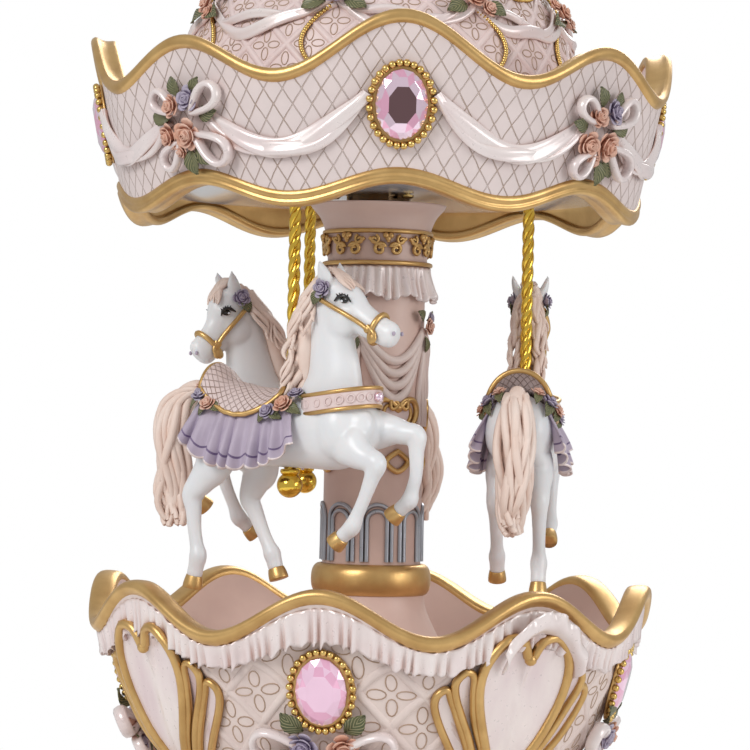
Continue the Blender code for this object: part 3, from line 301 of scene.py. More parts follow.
rosePeach = newLook("rosePeach", (0.74, 0.40, 0.28), (0.82, 0.55, 0.44), 0.5, wash=(0.34, 0.10, 0.05),
                    washAmount=0.9)
rosePurple = newLook("rosePurple", (0.40, 0.34, 0.45), (0.50, 0.45, 0.54), 0.5, wash=(0.11, 0.07, 0.16),
                     washAmount=0.9)
lilac = newLook("lilacCloth", (0.44, 0.37, 0.47), (0.52, 0.44, 0.54), 0.55, wash=(0.20, 0.15, 0.28),
                washAmount=0.7, sheen=0.2)
lilacDark = newLook("lilacLine", (0.16, 0.11, 0.22), rough=0.5)
ink = newLook("inkPaint", (0.012, 0.011, 0.012), rough=0.25, coat=0.5)
brownLine = newLook("brownLine", (0.40, 0.26, 0.18), (0.52, 0.38, 0.28), rough=0.55)
darkFelt = newLook("darkFelt", (0.09, 0.035, 0.04), (0.12, 0.05, 0.055), 0.95, 0.04, grain=900, relief=0.8,
                   sheen=0.5, depth=0.3)
board = newLook("fibreBoard", (0.62, 0.55, 0.48), (0.54, 0.47, 0.40), 0.7, grain=600, relief=0.3)
machined = newLook("machinedBrass", (0.72, 0.53, 0.22), (0.64, 0.46, 0.18), 0.25, 0.08, 1.0)


def takeOver(look):  # a look's shader, its paint so far and its coordinates, to build on
    nodes = look.node_tree.nodes
    shader = nodes["Principled BSDF"]
    return shader, shader.inputs["Base Color"].links[0].from_socket, nodes["Texture Coordinate"]


def leafLook():  # dark green with pale gilt veins, by the leaf's own map
    look = newLook("leafGreen", (0.055, 0.07, 0.028), (0.10, 0.11, 0.045), 0.45,
                   wash=(0.015, 0.02, 0.01), washAmount=0.7)
    shader, base, coords = takeOver(look)
    apart = addNode(look, "SeparateXYZ", {"Vector": coords.outputs["UV"]})
    side = addMath(look, "PINGPONG", apart.outputs["X"], 0.5)  # 0 on the midrib, 0.5 on the edge
    slant = addMath(look, "ADD", side, apart.outputs["Y"])
    vein = 0.085
    pale = addRange(look, addMath(look, "PINGPONG", slant, vein), 0.05, vein, 0.0, 0.75)
    look.node_tree.links.new(addTint(look, base, (0.50, 0.44, 0.24, 1), pale), shader.inputs["Base Color"])
    return look


def scratchedLook(name, base, line, columns, tall, width, mapped=False):  # resin scratched with a net
    look = newLook(name, base, [c * 0.94 for c in base], 0.42, wash=(0.42, 0.27, 0.22), washAmount=0.5)
    shader, under, coords = takeOver(look)
    wobble = addNode(look, "TexNoise", {"Vector": coords.outputs["Object"], "Scale": 120}).outputs["Fac"]
    apart = addNode(look, "SeparateXYZ", {"Vector": coords.outputs["UV" if mapped else "Object"]})
    x, y, z = apart.outputs
    shake = addMath(look, "MULTIPLY", addMath(look, "SUBTRACT", wobble, 0.5), 0.22)
    if mapped:
        sweep = addMath(look, "ADD", addMath(look, "MULTIPLY", x, columns), shake)
        rise = addMath(look, "MULTIPLY", y, tall)
    else:
        bearing = addMath(look, "ARCTAN2", x, addMath(look, "MULTIPLY", y, -1.0))
        sweep = addMath(look, "ADD", addMath(look, "MULTIPLY", bearing, columns / fullTurn), shake)
        rise = addMath(look, "MULTIPLY", z, 1 / (tall * mm))
    nets = []
    for kind in ("ADD", "SUBTRACT"):  # one set of scratches leans each way
        nets.append(addMath(look, "PINGPONG", addMath(look, kind, sweep, rise), 0.5))
    near = addMath(look, "MINIMUM", nets[0], nets[1])
    groove = addRange(look, near, width * 0.3, width, 1.0, 0.0, interpolation_type="SMOOTHSTEP")
    worn = addRange(look, wobble, 0.35, 0.6, 0.45, 1.0)  # the paint in the scratches is patchy
    paint = addTint(look, under, (*line, 1), addMath(look, "MULTIPLY", groove, worn))
    look.node_tree.links.new(paint, shader.inputs["Base Color"])
    skin = shader.inputs["Normal"].links[0].from_socket
    depth = {"Height": groove, "Normal": skin, "Strength": 0.9, "Distance": 0.35 * mm}
    cut = addNode(look, "Bump", depth, invert=True)
    look.node_tree.links.new(cut.outputs["Normal"], shader.inputs["Normal"])
    return look


def stoneLook(name, colour, rough, metal):
    edge = [c * 0.96 for c in colour]
    return newLook(name, colour, edge, rough, 0.02, metal, relief=0.0, coat=1.0, coatRough=0.02)


leafGreen = leafLook()
# stone looks for the cut stones: the dark and the bright one are painted reflections on the jewel tables, and
# pale, pink and rose copies alternate on the facets as painted light and shade
stonePink = stoneLook("stonePink", (0.93, 0.48, 0.66), 0.06, 0.55)
stonePale = stoneLook("stonePale", (0.96, 0.74, 0.88), 0.05, 0.7)
stoneDark = stoneLook("stoneDark", (0.20, 0.10, 0.11), 0.05, 0.9)
stoneBright = stoneLook("stoneBright", (0.97, 0.66, 0.84), 0.08, 0.2)
stoneRose = stoneLook("stoneRose", (0.94, 0.50, 0.70), 0.06, 0.25)
flowerLooks = [rosePeach, rosePurple, leafGreen, pearl]
print("materials made")


roseShape = {"rings": ((3, 0.30, 0.80, 0.9), (4, 0.56, 0.68, 0.8), (5, 0.82, 0.42, 0.72)), "curl": 0.22}


def addRose(bm, centre, outward, radius, look, seed):
    chance = random.Random(seed)
    side = outward.orthogonal().normalized()
    other = outward.cross(side).normalized()
    addBall(bm, centre + outward * radius * 0.25, radius * 0.52, look)

    def bud(u, v):  # the rolled middle
        angle = u * fullTurn * 1.6
        reach = radius * mix(0.06, 0.24, u)
        rise = radius * (0.35 + 0.5 * v)
        return centre + side * reach * math.cos(angle) + other * reach * math.sin(angle) + outward * rise

    addSheet(bm, bud, 12, 2, look=look)
    start = chance.random() * fullTurn
    for count, reach, rise, width in roseShape["rings"]:
        start += 0.7
        for k in range(count):
            middle = start + fullTurn * k / count + chance.uniform(-0.12, 0.12)
            span = fullTurn / count * width
            lean = chance.uniform(0.92, 1.08)

            def petal(u, v, middle=middle, span=span, reach=reach, rise=rise, lean=lean):
                angle = middle + (u - 0.5) * 2 * span * 0.62
                edge = 1 - (2 * u - 1) ** 2
                out = radius * reach * lean * (0.35 + 0.65 * math.sin(v * math.pi * 0.5))
                out += radius * roseShape["curl"] * v ** 3 * edge
                height = radius * (rise * v * (0.72 + 0.28 * edge) - 0.06 * v ** 4)
                flat = centre + side * out * math.cos(angle) + other * out * math.sin(angle)
                return flat + outward * height

            addSheet(bm, petal, 5, 4, look=look)


def addLeaf(bm, root, ahead, outward, length, width, look=2):
    across = ahead.cross(outward).normalized()

    def blade(u, v):
        half = width * 0.5 * math.sin(math.pi * clamp(v, 0.02, 0.98)) ** 0.8
        tooth = 1 + 0.16 * abs(math.sin(v * math.pi * 5)) * abs(2 * u - 1)
        side = (2 * u - 1) * half * tooth
        fold = abs(2 * u - 1) * width * 0.14
        arch = length * 0.16 * math.sin(math.pi * v)
        return root + ahead * (length * v) + across * side + outward * (fold + arch + 0.1)

    addSheet(bm, blade, 6, 14, look=look)


def addBowLoop(bm, root, ahead, outward, length, width, thick, look=3):  # a rolled ribbon loop
    across = ahead.cross(outward).normalized()

    def band(u, v):
        angle = v * fullTurn
        along = length * 0.5 * (1 - math.cos(angle))
        side = width * 0.62 * math.sin(angle) * mix(0.25, 1.0, along / length)
        middle = root + ahead * along + across * side
        turn = u * fullTurn
        inward = (ahead * math.cos(angle) * 0.5 - across * math.sin(angle)).normalized()
        rise = thick * (0.9 + 1.15 * math.sin(turn)) + length * 0.06 * math.sin(math.pi * along / length)
        return middle + inward * thick * 0.6 * math.cos(turn) + outward * rise

    addSheet(bm, band, 8, 22, wrap=True, look=look)


def addSwag(bm, path, width, thick, across, along):  # a flat ribbon laid on path(v)
    def band(u, v):
        here, side, outward = path(v)
        turn = u * fullTurn
        flat = math.cos(turn)
        pleat = 0.35 * math.sin(flat * 4.2 + v * 7)
        swell = 0.6 + 0.4 * math.sin(math.pi * clamp(v * 1.02, 0.06, 0.94))
        return here + side * (width * 0.5 * flat * swell) + outward * thick * (math.sin(turn) + pleat)

    addSheet(bm, band, across, along, wrap=True)


jewelShape = {
    "wide": 7.6, "tall": 10.2, "beadRing": 1.75, "bead": 1.12, "beads": 28, "table": 3.3,
    "mount": ((0.2, -0.8), (1.20, -0.8), (1.26, 0.1), (1.14, 0.6), (1.02, 0.7), (0.2, 0.2)),
    "facets": ((16, 1.0, 0.6, 0), (16, 1.0, 1.3, 0), (16, 0.80, 2.6, 0.5), (8, 0.56, 3.4, 0.5)),
}


def jewelPiece(name, point, lift, body, stones, replaces):  # a cut stone in a beaded mount
    size = jewelShape
    spot, across, up, outward = standOn(point)
    spot = spot + outward * lift
    bm = bmesh.new()

    def at(x, y, z):
        return spot + across * x + up * y + outward * z

    def mount(u, v):  # the gilt dish under the beads
        angle = v * fullTurn
        reach, rise = glide(size["mount"], u)
        grow = (reach - 1) * size["wide"]
        return at((size["wide"] + grow) * math.cos(angle), (size["tall"] + grow) * math.sin(angle), rise)

    addSheet(bm, mount, 14, 48, wrap=True)
    for k in range(size["beads"]):
        angle = fullTurn * (k + 0.5) / size["beads"]
        wide, tall = size["wide"] + size["beadRing"], size["tall"] + size["beadRing"]
        addBall(bm, at(wide * math.cos(angle), tall * math.sin(angle), 1.1), size["bead"], 1, fine=2)
    settle(name + "Mount", bm, body, [goldPaint, beadGold], "gold_paint")
    bm = bmesh.new()
    points = []
    for count, reach, rise, turn in size["facets"]:
        for k in range(count):
            angle = fullTurn * (k + turn) / count
            x, y = reach * size["wide"] * math.cos(angle), reach * size["tall"] * math.sin(angle)
            points.append(bm.verts.new(at(x, y, rise)))
    bmesh.ops.convex_hull(bm, input=points)
    bmesh.ops.dissolve_limit(bm, angle_limit=0.03, verts=bm.verts, edges=bm.edges)
    bm.faces.ensure_lookup_table()
    for i, face in enumerate(bm.faces):
        face.smooth = False
        high = (face.calc_center_median() - spot).dot(outward)
        # the table takes a painted reflection, and the other facets alternate two looks as painted light and
        # shade
        face.material_index = 0 if high > size["table"] else 1 + i % 2
    bmesh.ops.bevel(bm, geom=list(bm.edges), offset=0.08, segments=1, affect="EDGES", profile=0.5,
                    material=-1)
    settle(name + "Stone", bm, body, stones, "pink_stone", replaces)


def posyPiece(name, point, lift, body, plan, seed, replaces=()):  # roses, leaves and loops on a surface
    bm = bmesh.new()
    across, up, outward = standOn(lambda x, y: point(x, y, lift))[1:]
    for kind, x, y, size, *more in plan:
        spot = point(x, y, lift)
        if kind in ("peach", "purple"):
            lean = (outward + (across * x + up * y) * 0.045).normalized()
            look = 0 if kind == "peach" else 1
            addRose(bm, spot + lean * (size * 0.1 + 1.3), lean, size, look, seed + int(x * 10 + y * 7))
        else:
            turn = math.radians(more[0])
            ahead = across * math.cos(turn) + up * math.sin(turn)
            if kind == "leaf":
                addLeaf(bm, spot + outward * 0.5, ahead, outward, size, size * 0.62)
            else:
                addBowLoop(bm, spot, ahead, outward, size, size * 0.62, more[1])
    settle(name, bm, body, flowerLooks, "rose_resin", replaces, outward=False, thick=0.28)


def sheetPiece(name, place, across, along, body, look, slot, replaces=(), **extra):  # one closed sheet
    bm = bmesh.new()
    addSheet(bm, place, across, along, wrap=True)
    settle(name, bm, body, [look], slot, replaces, **extra)


print("ornament tools ready")


# bowl and foot
bowlShape = {
    "turn": -10.0, "wave": 6.5, "waveFrom": 58.0, "waveOver": 24.0, "radius": 76.0, "rim": (86.5, 84.0),
    "outside": ((45, 19), (49.15, 25.5), (62.8, 35.9), (69.9, 45), (74.9, 56.7), (80.7, 73), (86.5, 82.5)),
    "foot": ((44.5, 19.6), (47.5, 15.6), (53.5, 11), (57.6, 8), (59, 5.4), (58.6, 2.6), (57, 1.8), (50, 1.8)),
    "inside": ((82.5, 83.2), (80, 82.5), (76, 74), (69.1, 56.5), (64, 50.6), (58, 50), (40, 50), (11, 50)),
    "cell": (15.0, 22.0), "cellHeight": 54.5, "band": (1.9, -1.2), "latticeTop": 68.0,
    "rimSection": ((-6.4, -3.4), (-6.7, -0.6), (-5.6, 0.7), (-3.0, 1.1), (-0.6, 1.0), (0.7, 0.2), (0.9, -1.3),
                   (-0.2, -2.8), (-2.5, -3.8), (-6.4, -3.4)),
}
bowlLine, bowlLength = measured(bowlShape["outside"])


def bowlWave(degrees, z):
    share = clamp((z - bowlShape["waveFrom"]) / bowlShape["waveOver"])
    return bowlShape["wave"] * share * math.cos(lobes * math.radians(degrees - bowlShape["turn"]))


def bowlWall(degrees, height):  # height runs up the wall from the waist
    radius, z = bowlLine(height)
    return polar(radius, degrees, z + bowlWave(degrees, z))


def lathe(line, wave=None, low=0.0, high=1.0):  # place(u, v) for a turned line with a waved edge
    def place(u, v):
        radius, z = glide(line, mix(low, high, v))
        degrees = 360 * u - 180
        return polar(radius, degrees, z + (wave(degrees, z) if wave else 0.0))
    return place


bm = bmesh.new()
addSheet(bm, lambda u, v: bowlWall(360 * u - 180, v * bowlLength), 200, 70, wrap=True)
addSheet(bm, lathe(bowlShape["inside"], bowlWave), 200, 50, wrap=True, look=1)
addSheet(bm, lathe(bowlShape["foot"]), 96, 30, wrap=True)
settle("bowlShell", bm, "base", [paleResin, pinkResin], "pink_resin", ["bowl_casting"], outward=False)


def rimPlace(u, v):
    out, rise = glide(bowlShape["rimSection"], v)
    degrees = 360 * u - 180
    radius, z = bowlShape["rim"]
    return polar(radius + out, degrees, z + rise + bowlWave(degrees, z))


sheetPiece("bowlRim", rimPlace, 240, 22, "base", goldPaint, "gold_paint")
footBead = [polar(59.2, 360 * k / 96, 5.4) for k in range(96)]
waistBead = [polar(45.6, 360 * k / 80, 19.2) for k in range(80)]
wires("footBeads", [footBead, waistBead], 1.3, "base", [goldPaint], "gold_paint", closed=True, resolution=2)

paths = []
cellWide, cellTall = bowlShape["cell"]
for n in range(24):
    for lean in (-1, 1):
        path = []
        for i in range(25):
            y = mix(6.0, bowlShape["latticeTop"], i / 24)
            shift = (y - bowlShape["cellHeight"]) / cellTall
            a = bowlShape["turn"] + cellWide * (n + 0.5) + lean * cellWide * shift
            path.append(raised(bowlWall, a, y, bowlShape["band"][1]))
        paths.append(path)
wires("bowlLattice", paths, bowlShape["band"][0], "base", [paleResin], "pink_resin", resolution=2)


def petalPaths(point, size, slim, reach, lift, turn=0.0):  # four petal outlines
    made = []
    for k in range(4):
        angle = math.radians(90 * k + turn)
        ahead, aside = (math.cos(angle), math.sin(angle)), (-math.sin(angle), math.cos(angle))
        path = []
        for i in range(12):
            t = fullTurn * i / 12
            far = reach + size * 0.5 * math.cos(t)
            off = slim * 0.5 * math.sin(t)
            path.append(point(ahead[0] * far + aside[0] * off, ahead[1] * far + aside[1] * off, lift))
        made.append(path)
    return made


petals = []
for row in range(-4, 2):
    for column in range(24):
        y = bowlShape["cellHeight"] + row * cellTall / 2
        a = bowlShape["turn"] + cellWide * (column + (0.5 if row % 2 else 0.0))
        if y < 12:
            continue
        fit = bowlLine(y)[0] / bowlShape["radius"]
        point = around(bowlWall, a, y, bowlLine(y)[0])
        petals += petalPaths(point, 5.7 * fit, 3.3 * fit, 4.3 * fit, 0.0, 4.0)
wires("bowlPetals", petals, 0.22, "base", [brownLine], "pink_resin", closed=True, resolution=0)
print("bowl made")

# frill under the rim
frillShape = {"top": 74.8, "drop": 8.6, "pleats": 150, "flare": 1.9, "fold": 1.0, "hem": 0.9}


def frillPlace(u, v):
    degrees = 360 * u - 180
    turn = u * fullTurn
    phase = frillShape["pleats"] * turn + 1.6 * math.sin(23 * turn) + 1.2 * math.sin(57 * turn + 1)
    uneven = math.sin(41 * turn) * 0.6 + math.sin(97 * turn + 2) * 0.4
    fold = math.sin(phase + 1.1 * v * uneven) * (0.3 + 0.7 * v) * (1 + 0.35 * uneven)
    y = frillShape["top"] - frillShape["drop"] * v * (1 + 0.06 * uneven)
    y -= frillShape["hem"] * v * math.cos(phase + 0.6)
    lift = 0.9 + frillShape["flare"] * v ** 1.6 + frillShape["fold"] * fold - 0.8 * (1 - v) ** 4
    return raised(bowlWall, degrees, y, lift)


sheetPiece("bowlFrill", frillPlace, 1050, 9, "base", pearl, "pink_resin", outward=False, thick=0.35)

# heart panels
heartShape = {
    "first": 35, "middle": 49.0, "radius": 74.0, "frame": 1.55,
    "heart": ((0, -29), (5.5, -18), (11.5, -5), (14.7, 7), (13.8, 16), (9.0, 20.8), (3.4, 18.6), (0, 13.5)),
    "near": ((1.5, -28), (9.5, -18), (15.8, -6), (20.4, 4), (21.8, 11.5), (19.4, 15), (16.6, 12), (15.6, 5),
             (13.4, -4), (7.4, -16)),
    "far": ((3, -28.6), (13, -21), (21, -10), (26.0, 0), (26.4, 6.5), (23.6, 9), (21.4, 3.5), (16.6, -7),
            (9.6, -19.4)),
    "hood": {"panels": (0, 2), "x": 4.0, "y": 15.5, "half": 14.5, "high": 5.2, "reach": 7.4},
}


def closedLine(points, count):
    loop = [*points, points[0]]
    return [glide(loop, i / count) for i in range(count)]


def heartOutlines():
    half = heartShape["heart"]
    whole = [*half, *[(-x, y) for x, y in half[-2:0:-1]]]
    sides = []
    for kind in ("near", "far"):
        sides.append(heartShape[kind])
        sides.append([(-x, y) for x, y in heartShape[kind]])
    return [whole, *sides]


def heartPoint(k):
    return around(bowlWall, heartShape["first"] + 90 * k, heartShape["middle"], heartShape["radius"])


frames = []
fills = bmesh.new()
for k in range(4):
    point = heartPoint(k)
    for number, outline in enumerate(heartOutlines()):
        line = closedLine(outline, 44)
        high = 2.7 if number == 0 else (1.9 if number < 3 else 1.2)
        frames.append([(*point(x, y, high), 1.0 if number == 0 else 0.82) for x, y in line])
        cx = sum(x for x, y in line) / len(line)
        cy = sum(y for x, y in line) / len(line)

        def fill(u, v, line=line, cx=cx, cy=cy, high=high, number=number):
            x, y = glide([*line, line[0]], u)
            px, py = mix(cx, x, v), mix(cy, y, v)
            crease = 0.5 * math.exp(-((px - cx) / 1.2) ** 2)
            return point(px, py, 0.5 + (high - 0.4) * v ** 2 + (crease if number == 0 else -0.3 * crease))

        addSheet(fills, fill, 44, 8, wrap=True)
    if k not in heartShape["hood"]["panels"]:
        continue
    hood = bmesh.new()
    hoodSize = heartShape["hood"]

    def hoodPlace(u, v, point=point, size=hoodSize):
        span = (u - 0.5) * 2
        x = size["x"] + size["half"] * math.sin(span * 1.4) * (0.86 + 0.16 * v)
        y = size["y"] + size["high"] * math.cos(span * 1.5) + v * size["reach"] - 5.2 * abs(span) ** 2
        ruffle = math.sin(span * 19 + math.sin(span * 5)) * v * v
        return point(x, y + 0.7 * ruffle, 2.6 + 3.4 * math.sin(math.pi * clamp(v * 0.8)) + 0.6 * ruffle)

    addSheet(hood, hoodPlace, 96, 14)
    settle(f"heartHood{k + 1}", hood, "base", [pearl], "pink_resin", outward=False, thick=0.6)
settle("heartFills", fills, "base", [pearlFill], "pink_resin", outward=False)
wires("heartFrames", frames, heartShape["frame"], "base", [goldPaint], "gold_paint", closed=True,
      resolution=2)
ties = bmesh.new()
for k in range(4):
    point = heartPoint(k)
    for x, y, size in ((0, 13.6, 1.9), (-1.7, 15.6, 1.2), (1.7, 15.6, 1.2), (0, -28.6, 2.6)):
        addBall(ties, point(x, y, 2.9), size, fine=2)
settle("heartTies", ties, "base", [goldPaint], "gold_paint")
print("hearts made")

# jewels and posies round the bowl
basePosy = (
    ("loop", -5.5, -1.5, 15.5, 172, 1.7), ("loop", 5.5, -1.5, 15.5, 8, 1.7),
    ("loop", -5, -5, 12.5, 208, 1.4), ("loop", 5, -5, 12.5, -28, 1.4),
    ("leaf", -5.5, 4.2, 8.6, 138), ("leaf", 6.2, 4.2, 8.6, 44), ("leaf", -9, -3, 6.5, 195),
    ("leaf", 10, -3.5, 6.5, -20), ("leaf", 0, -9, 7.5, -95), ("leaf", -5, -9, 6.5, -130),
    ("leaf", 5, -9, 6.5, -55),
    ("purple", -4.9, 0.0, 5.0), ("peach", 5.2, -0.2, 5.0), ("peach", -7.6, -6.6, 3.6),
    ("purple", 7.6, -6.8, 3.6),
    ("peach", 0.2, -7.2, 4.6),
)
for k in range(4):
    a = bowlShape["turn"] + 90 * k
    stones = [stoneBright, stoneRose, stoneBright]
    point = around(bowlWall, a, 54.2, 77.0)
    jewelPiece(f"baseJewel{k + 1}", point, 1.0, "base", stones, [f"base_jewel_{k + 1}"])
    point = around(bowlWall, a, 38.8, 70.0)
    posyPiece(f"basePosy{k + 1}", point, 1.2, "base", basePosy, k, [f"base_roses_{k + 1}"])
print("bowl ornaments made")

# canopy: scalloped wall, rims, deck and dome
canopyShape = {
    "turn": 4.0, "top": 246.2, "topWave": 7.0, "jewelWave": 3.05, "low": 206.5, "lowWave": 3.5,
    "lowRadius": 80.5, "flare": 8.9, "rimRadius": 89.4, "deck": 236.5, "deckReach": (83.4, 81.9, 60.0),
    "under": (76.2, 73.6, 211.4),
    "domeRadius": 62.5, "domeHigh": 61.5, "domeBase": 236.8, "domeRound": 62.0, "domeEnd": 86.6,
    "topSection": ((-6.6, -2.4), (-7.0, -0.6), (-6.0, 0.6), (-3.6, 0.5), (-1.6, 1.0), (-0.2, 1.7), (1.0, 1.0),
                   (1.3, -0.5), (0.4, -1.9), (-2.5, -2.9), (-6.6, -2.4)),
    "lowSection": ((-6.0, 1.4), (-6.6, -0.2), (-5.4, -1.2), (-3.2, -1.0), (-1.6, -1.4), (0.0, -1.5),
                   (1.0, -0.5),
                   (0.7, 0.6), (1.3, 1.6), (1.0, 2.9), (0.0, 3.3), (-3.0, 2.6), (-6.0, 1.4)),
}
domeRound = canopyShape["domeRound"]
canopyPaint = scratchedLook("canopyScratched", (0.78, 0.67, 0.65), (0.50, 0.37, 0.30), 96, 8.7, 0.05)


def topEdge(degrees):
    shape, a = canopyShape, math.radians(degrees - canopyShape["turn"])
    return shape["top"] + shape["topWave"] * math.cos(lobes * a) + shape["jewelWave"] * math.cos(4 * a)


def lowEdge(degrees):
    shape, a = canopyShape, math.radians(degrees - canopyShape["turn"])
    return shape["low"] + shape["lowWave"] * math.cos(lobes * a)


def canopyWall(degrees, z):
    low = lowEdge(degrees)
    share = (z - low) / (topEdge(degrees) - low)
    return polar(canopyShape["lowRadius"] + canopyShape["flare"] * share, degrees, z)


def wallFace(u, v):
    degrees = 360 * u - 180
    return canopyWall(degrees, mix(lowEdge(degrees), topEdge(degrees), v))


def rimOf(edge, radius, section):
    def place(u, v):
        out, rise = glide(section, v)
        degrees = 360 * u - 180
        return polar(radius + out, degrees, edge(degrees) + rise)
    return place


def trough(u, v):  # inside of the wall, then the deck
    degrees = 360 * u - 180
    deck = canopyShape["deck"]
    top, corner, middle = canopyShape["deckReach"]
    if v < 0.4:
        return polar(mix(top, corner, v / 0.4), degrees, mix(topEdge(degrees) - 1.0, deck, v / 0.4))
    return polar(mix(corner, middle, (v - 0.4) / 0.6), degrees, deck)


def underside(u, v):
    degrees = 360 * u - 180
    outer, inner, top = canopyShape["under"]
    return polar(mix(outer, inner, v), degrees, mix(lowEdge(degrees) - 0.3, top, ease(v)))


bm = bmesh.new()
addSheet(bm, wallFace, 240, 14, wrap=True)
addSheet(bm, trough, 240, 30, wrap=True, look=1)
addSheet(bm, underside, 240, 6, wrap=True, look=2)
settle("valanceWall", bm, "carousel", [canopyPaint, roseResin, goldPaint], "pink_resin", ["valance"],
       outward=False)
bm = bmesh.new()
addSheet(bm, rimOf(topEdge, canopyShape["rimRadius"], canopyShape["topSection"]), 260, 26, wrap=True)
addSheet(bm, rimOf(lowEdge, canopyShape["lowRadius"], canopyShape["lowSection"]), 260, 30, wrap=True)
settle("canopyRims", bm, "carousel", [goldPaint], "gold_paint")


def domeWall(degrees, height):  # height runs up the dome from its foot
    rise = height / domeRound
    reach = canopyShape["domeRadius"] * math.cos(rise)
    return polar(reach, degrees, canopyShape["domeBase"] + canopyShape["domeHigh"] * math.sin(rise))


def domeFace(u, v):
    return domeWall(360 * u - 180, domeRound * math.radians(canopyShape["domeEnd"]) * v)


sheetPiece("domeShell", domeFace, 180, 60, "carousel", roseResin, "pink_resin", ["dome"], outward=False)
domeNet = {"columns": 26, "band": (1.5, -0.8), "rows": 10, "ridgeTop": 1.9}


def domeHeight(stretch):  # equal-angled net on a ball
    return domeRound * (2 * math.atan(math.exp(stretch)) - math.pi / 2)


paths = []
step = fullTurn / domeNet["columns"]
for n in range(domeNet["columns"]):
    for lean in (-1, 1):
        path = []
        for i in range(40):
            stretch = domeNet["ridgeTop"] * i / 39
            a = math.degrees(step * n + lean * stretch)
            slim = mix(1.0, 0.45, i / 39)
            path.append((*raised(domeWall, a, domeHeight(stretch), domeNet["band"][1] * slim), slim))
        paths.append(path)
wires("domeRidges", paths, domeNet["band"][0], "carousel", [roseResin], "pink_resin", resolution=1)
petals = []
for row in range(1, domeNet["rows"]):
    for column in range(domeNet["columns"]):
        stretch = step * row / 2
        a = math.degrees(step * (column + (0.0 if row % 2 else 0.5)))
        height = domeHeight(stretch)
        fit = math.cos(height / domeRound)
        point = around(domeWall, a, height, canopyShape["domeRadius"] * fit)
        petals += petalPaths(point, 4.1 * fit, 2.3 * fit, 2.9 * fit, 0.05)
wires("domePetals", petals, 0.17, "carousel", [brownLine], "pink_resin", closed=True, resolution=0)
print("canopy made")


def ribbonPath(surface, startAt, endAt, sag, lift, phase, sway):  # spots are (degrees, height) on the surface
    def path(v):
        def on(t):
            drop = sag * 4 * t * (1 - t)
            wave = sway * math.sin(t * fullTurn * 1.5 + phase)
            a, height = (mix(first, last, t) for first, last in zip(startAt, endAt))
            return raised(surface, a, height - drop + wave, lift + 0.5 * math.sin(t * 11 + phase))
        here = on(v)
        ahead = (on(min(1.0, v + 0.01)) - on(max(0.0, v - 0.01))).normalized()
        outward = Vector((here.x, here.y, 0)).normalized()
        outward = (outward - ahead * outward.dot(ahead)).normalized()
        return here, ahead.cross(outward).normalized(), outward
    return path


bm = bmesh.new()
for k in range(4):
    for side in (-1, 1):
        start = canopyShape["turn"] + 90 * k
        rose = start + 45 * side
        begin = (start + 6.6 * side, 233.5)
        end = (rose - 5.5 * side, 228.0)
        addSwag(bm, ribbonPath(canopyWall, begin, end, 11.5, 1.0, 0.0, 0.9), 6.0, 0.9, 16, 60)
        addSwag(bm, ribbonPath(canopyWall, begin, end, 13.6, 1.4, 2.6, 1.2), 4.4, 0.9, 14, 60)
settle("valanceSwags", bm, "carousel", [pearl], "pink_resin")

canopyPosy = (
    ("loop", 3.5, 3.2, 12.0, 34, 1.6), ("loop", 4.0, -3.2, 13.5, -32, 1.7),
    ("loop", -3.5, 3.4, 10.0, 146, 1.5),
    ("loop", -3.0, -5.0, 10.0, 226, 1.5),
    ("leaf", -1.5, 8.0, 6.5, 114), ("leaf", 5.4, 2.0, 7.0, 10), ("leaf", 0.5, -7.0, 8.0, -80),
    ("leaf", -7.0, 1.6, 6.5, 170),
    ("leaf", 3.0, -6.4, 7.5, -48), ("leaf", 3.8, 8.4, 5.5, 60),
    ("peach", 1.4, -2.6, 4.9), ("peach", -3.8, 4.8, 3.7), ("purple", 2.6, 6.4, 3.9),
    ("peach", -6.0, -2.8, 3.9),
    ("peach", -2.6, -7.0, 2.6),
)
for k in range(4):
    a = canopyShape["turn"] + 90 * k
    stones = [stoneDark, stonePink, stonePale]
    point = around(canopyWall, a, 231.1, 87.0)
    jewelPiece(f"canopyJewel{k + 1}", point, 0.9, "carousel", stones, [f"canopy_jewel_{k + 1}"])
    point = around(canopyWall, a + 45, 226.4, 86.0)
    posyPiece(f"canopyPosy{k + 1}", point, 1.2, "carousel", canopyPosy, 20 + k, [f"canopy_roses_{k + 1}"])

# ribbons, bead strings and roses on the dome
domePosies = ((-116, "peach"), (-66, "peach"), (-14, "purple"), (28, "peach"), (70, "peach"),
              (118, "purple"), (166, "peach"), (206, "purple"))
bm = bmesh.new()
strings = bmesh.new()
for i, (a, kind) in enumerate(domePosies):
    other = domePosies[(i + 1) % len(domePosies)][0]
    other += 360 if other < a else 0
    addSwag(bm, ribbonPath(domeWall, (a, 29), (other, 29), 9.0, 1.0, i, 1.5), 4.2, 0.8, 12, 54)
    addSwag(bm, ribbonPath(domeWall, (a, 30), (other, 30), 7.0, 1.3, i + 2.0, 1.8), 3.0, 0.7, 12, 54)
    for k in range(34):
        t = k / 33
        bow = 9 * math.sin(t * math.pi) * (1 if i % 2 else -1)
        addBall(strings, raised(domeWall, a + bow, mix(28, 3, t), 0.8), 0.85)
    for k in range(40):
        t = k / 39
        addBall(strings, raised(domeWall, mix(a, other, t), 42 - 9 * 4 * t * (1 - t), 0.7), 0.8)
    point = around(domeWall, a, 29.0, 56.0)
    size = 4.1 if kind == "purple" else 3.5
    plan = [("leaf", -2.8, -1.5, 7.5, 200), ("leaf", 2.8, -1.5, 7.5, -20), ("leaf", 0, 2.5, 6.0, 80)]
    plan.append((kind, 0, 0.4, size))
    if kind == "peach":
        plan += [("peach", 3.6, -2.6, 2.6), ("peach", -3.4, 2.6, 2.4), ("leaf", 3.0, 3.0, 6.0, 40)]
    posyPiece(f"domePosy{i + 1}", point, 1.4, "carousel", plan, 60 + i)
settle("domeRibbons", bm, "carousel", [pearl], "pink_resin")
settle("domeBeads", strings, "carousel", [beadGold], "gold_paint")
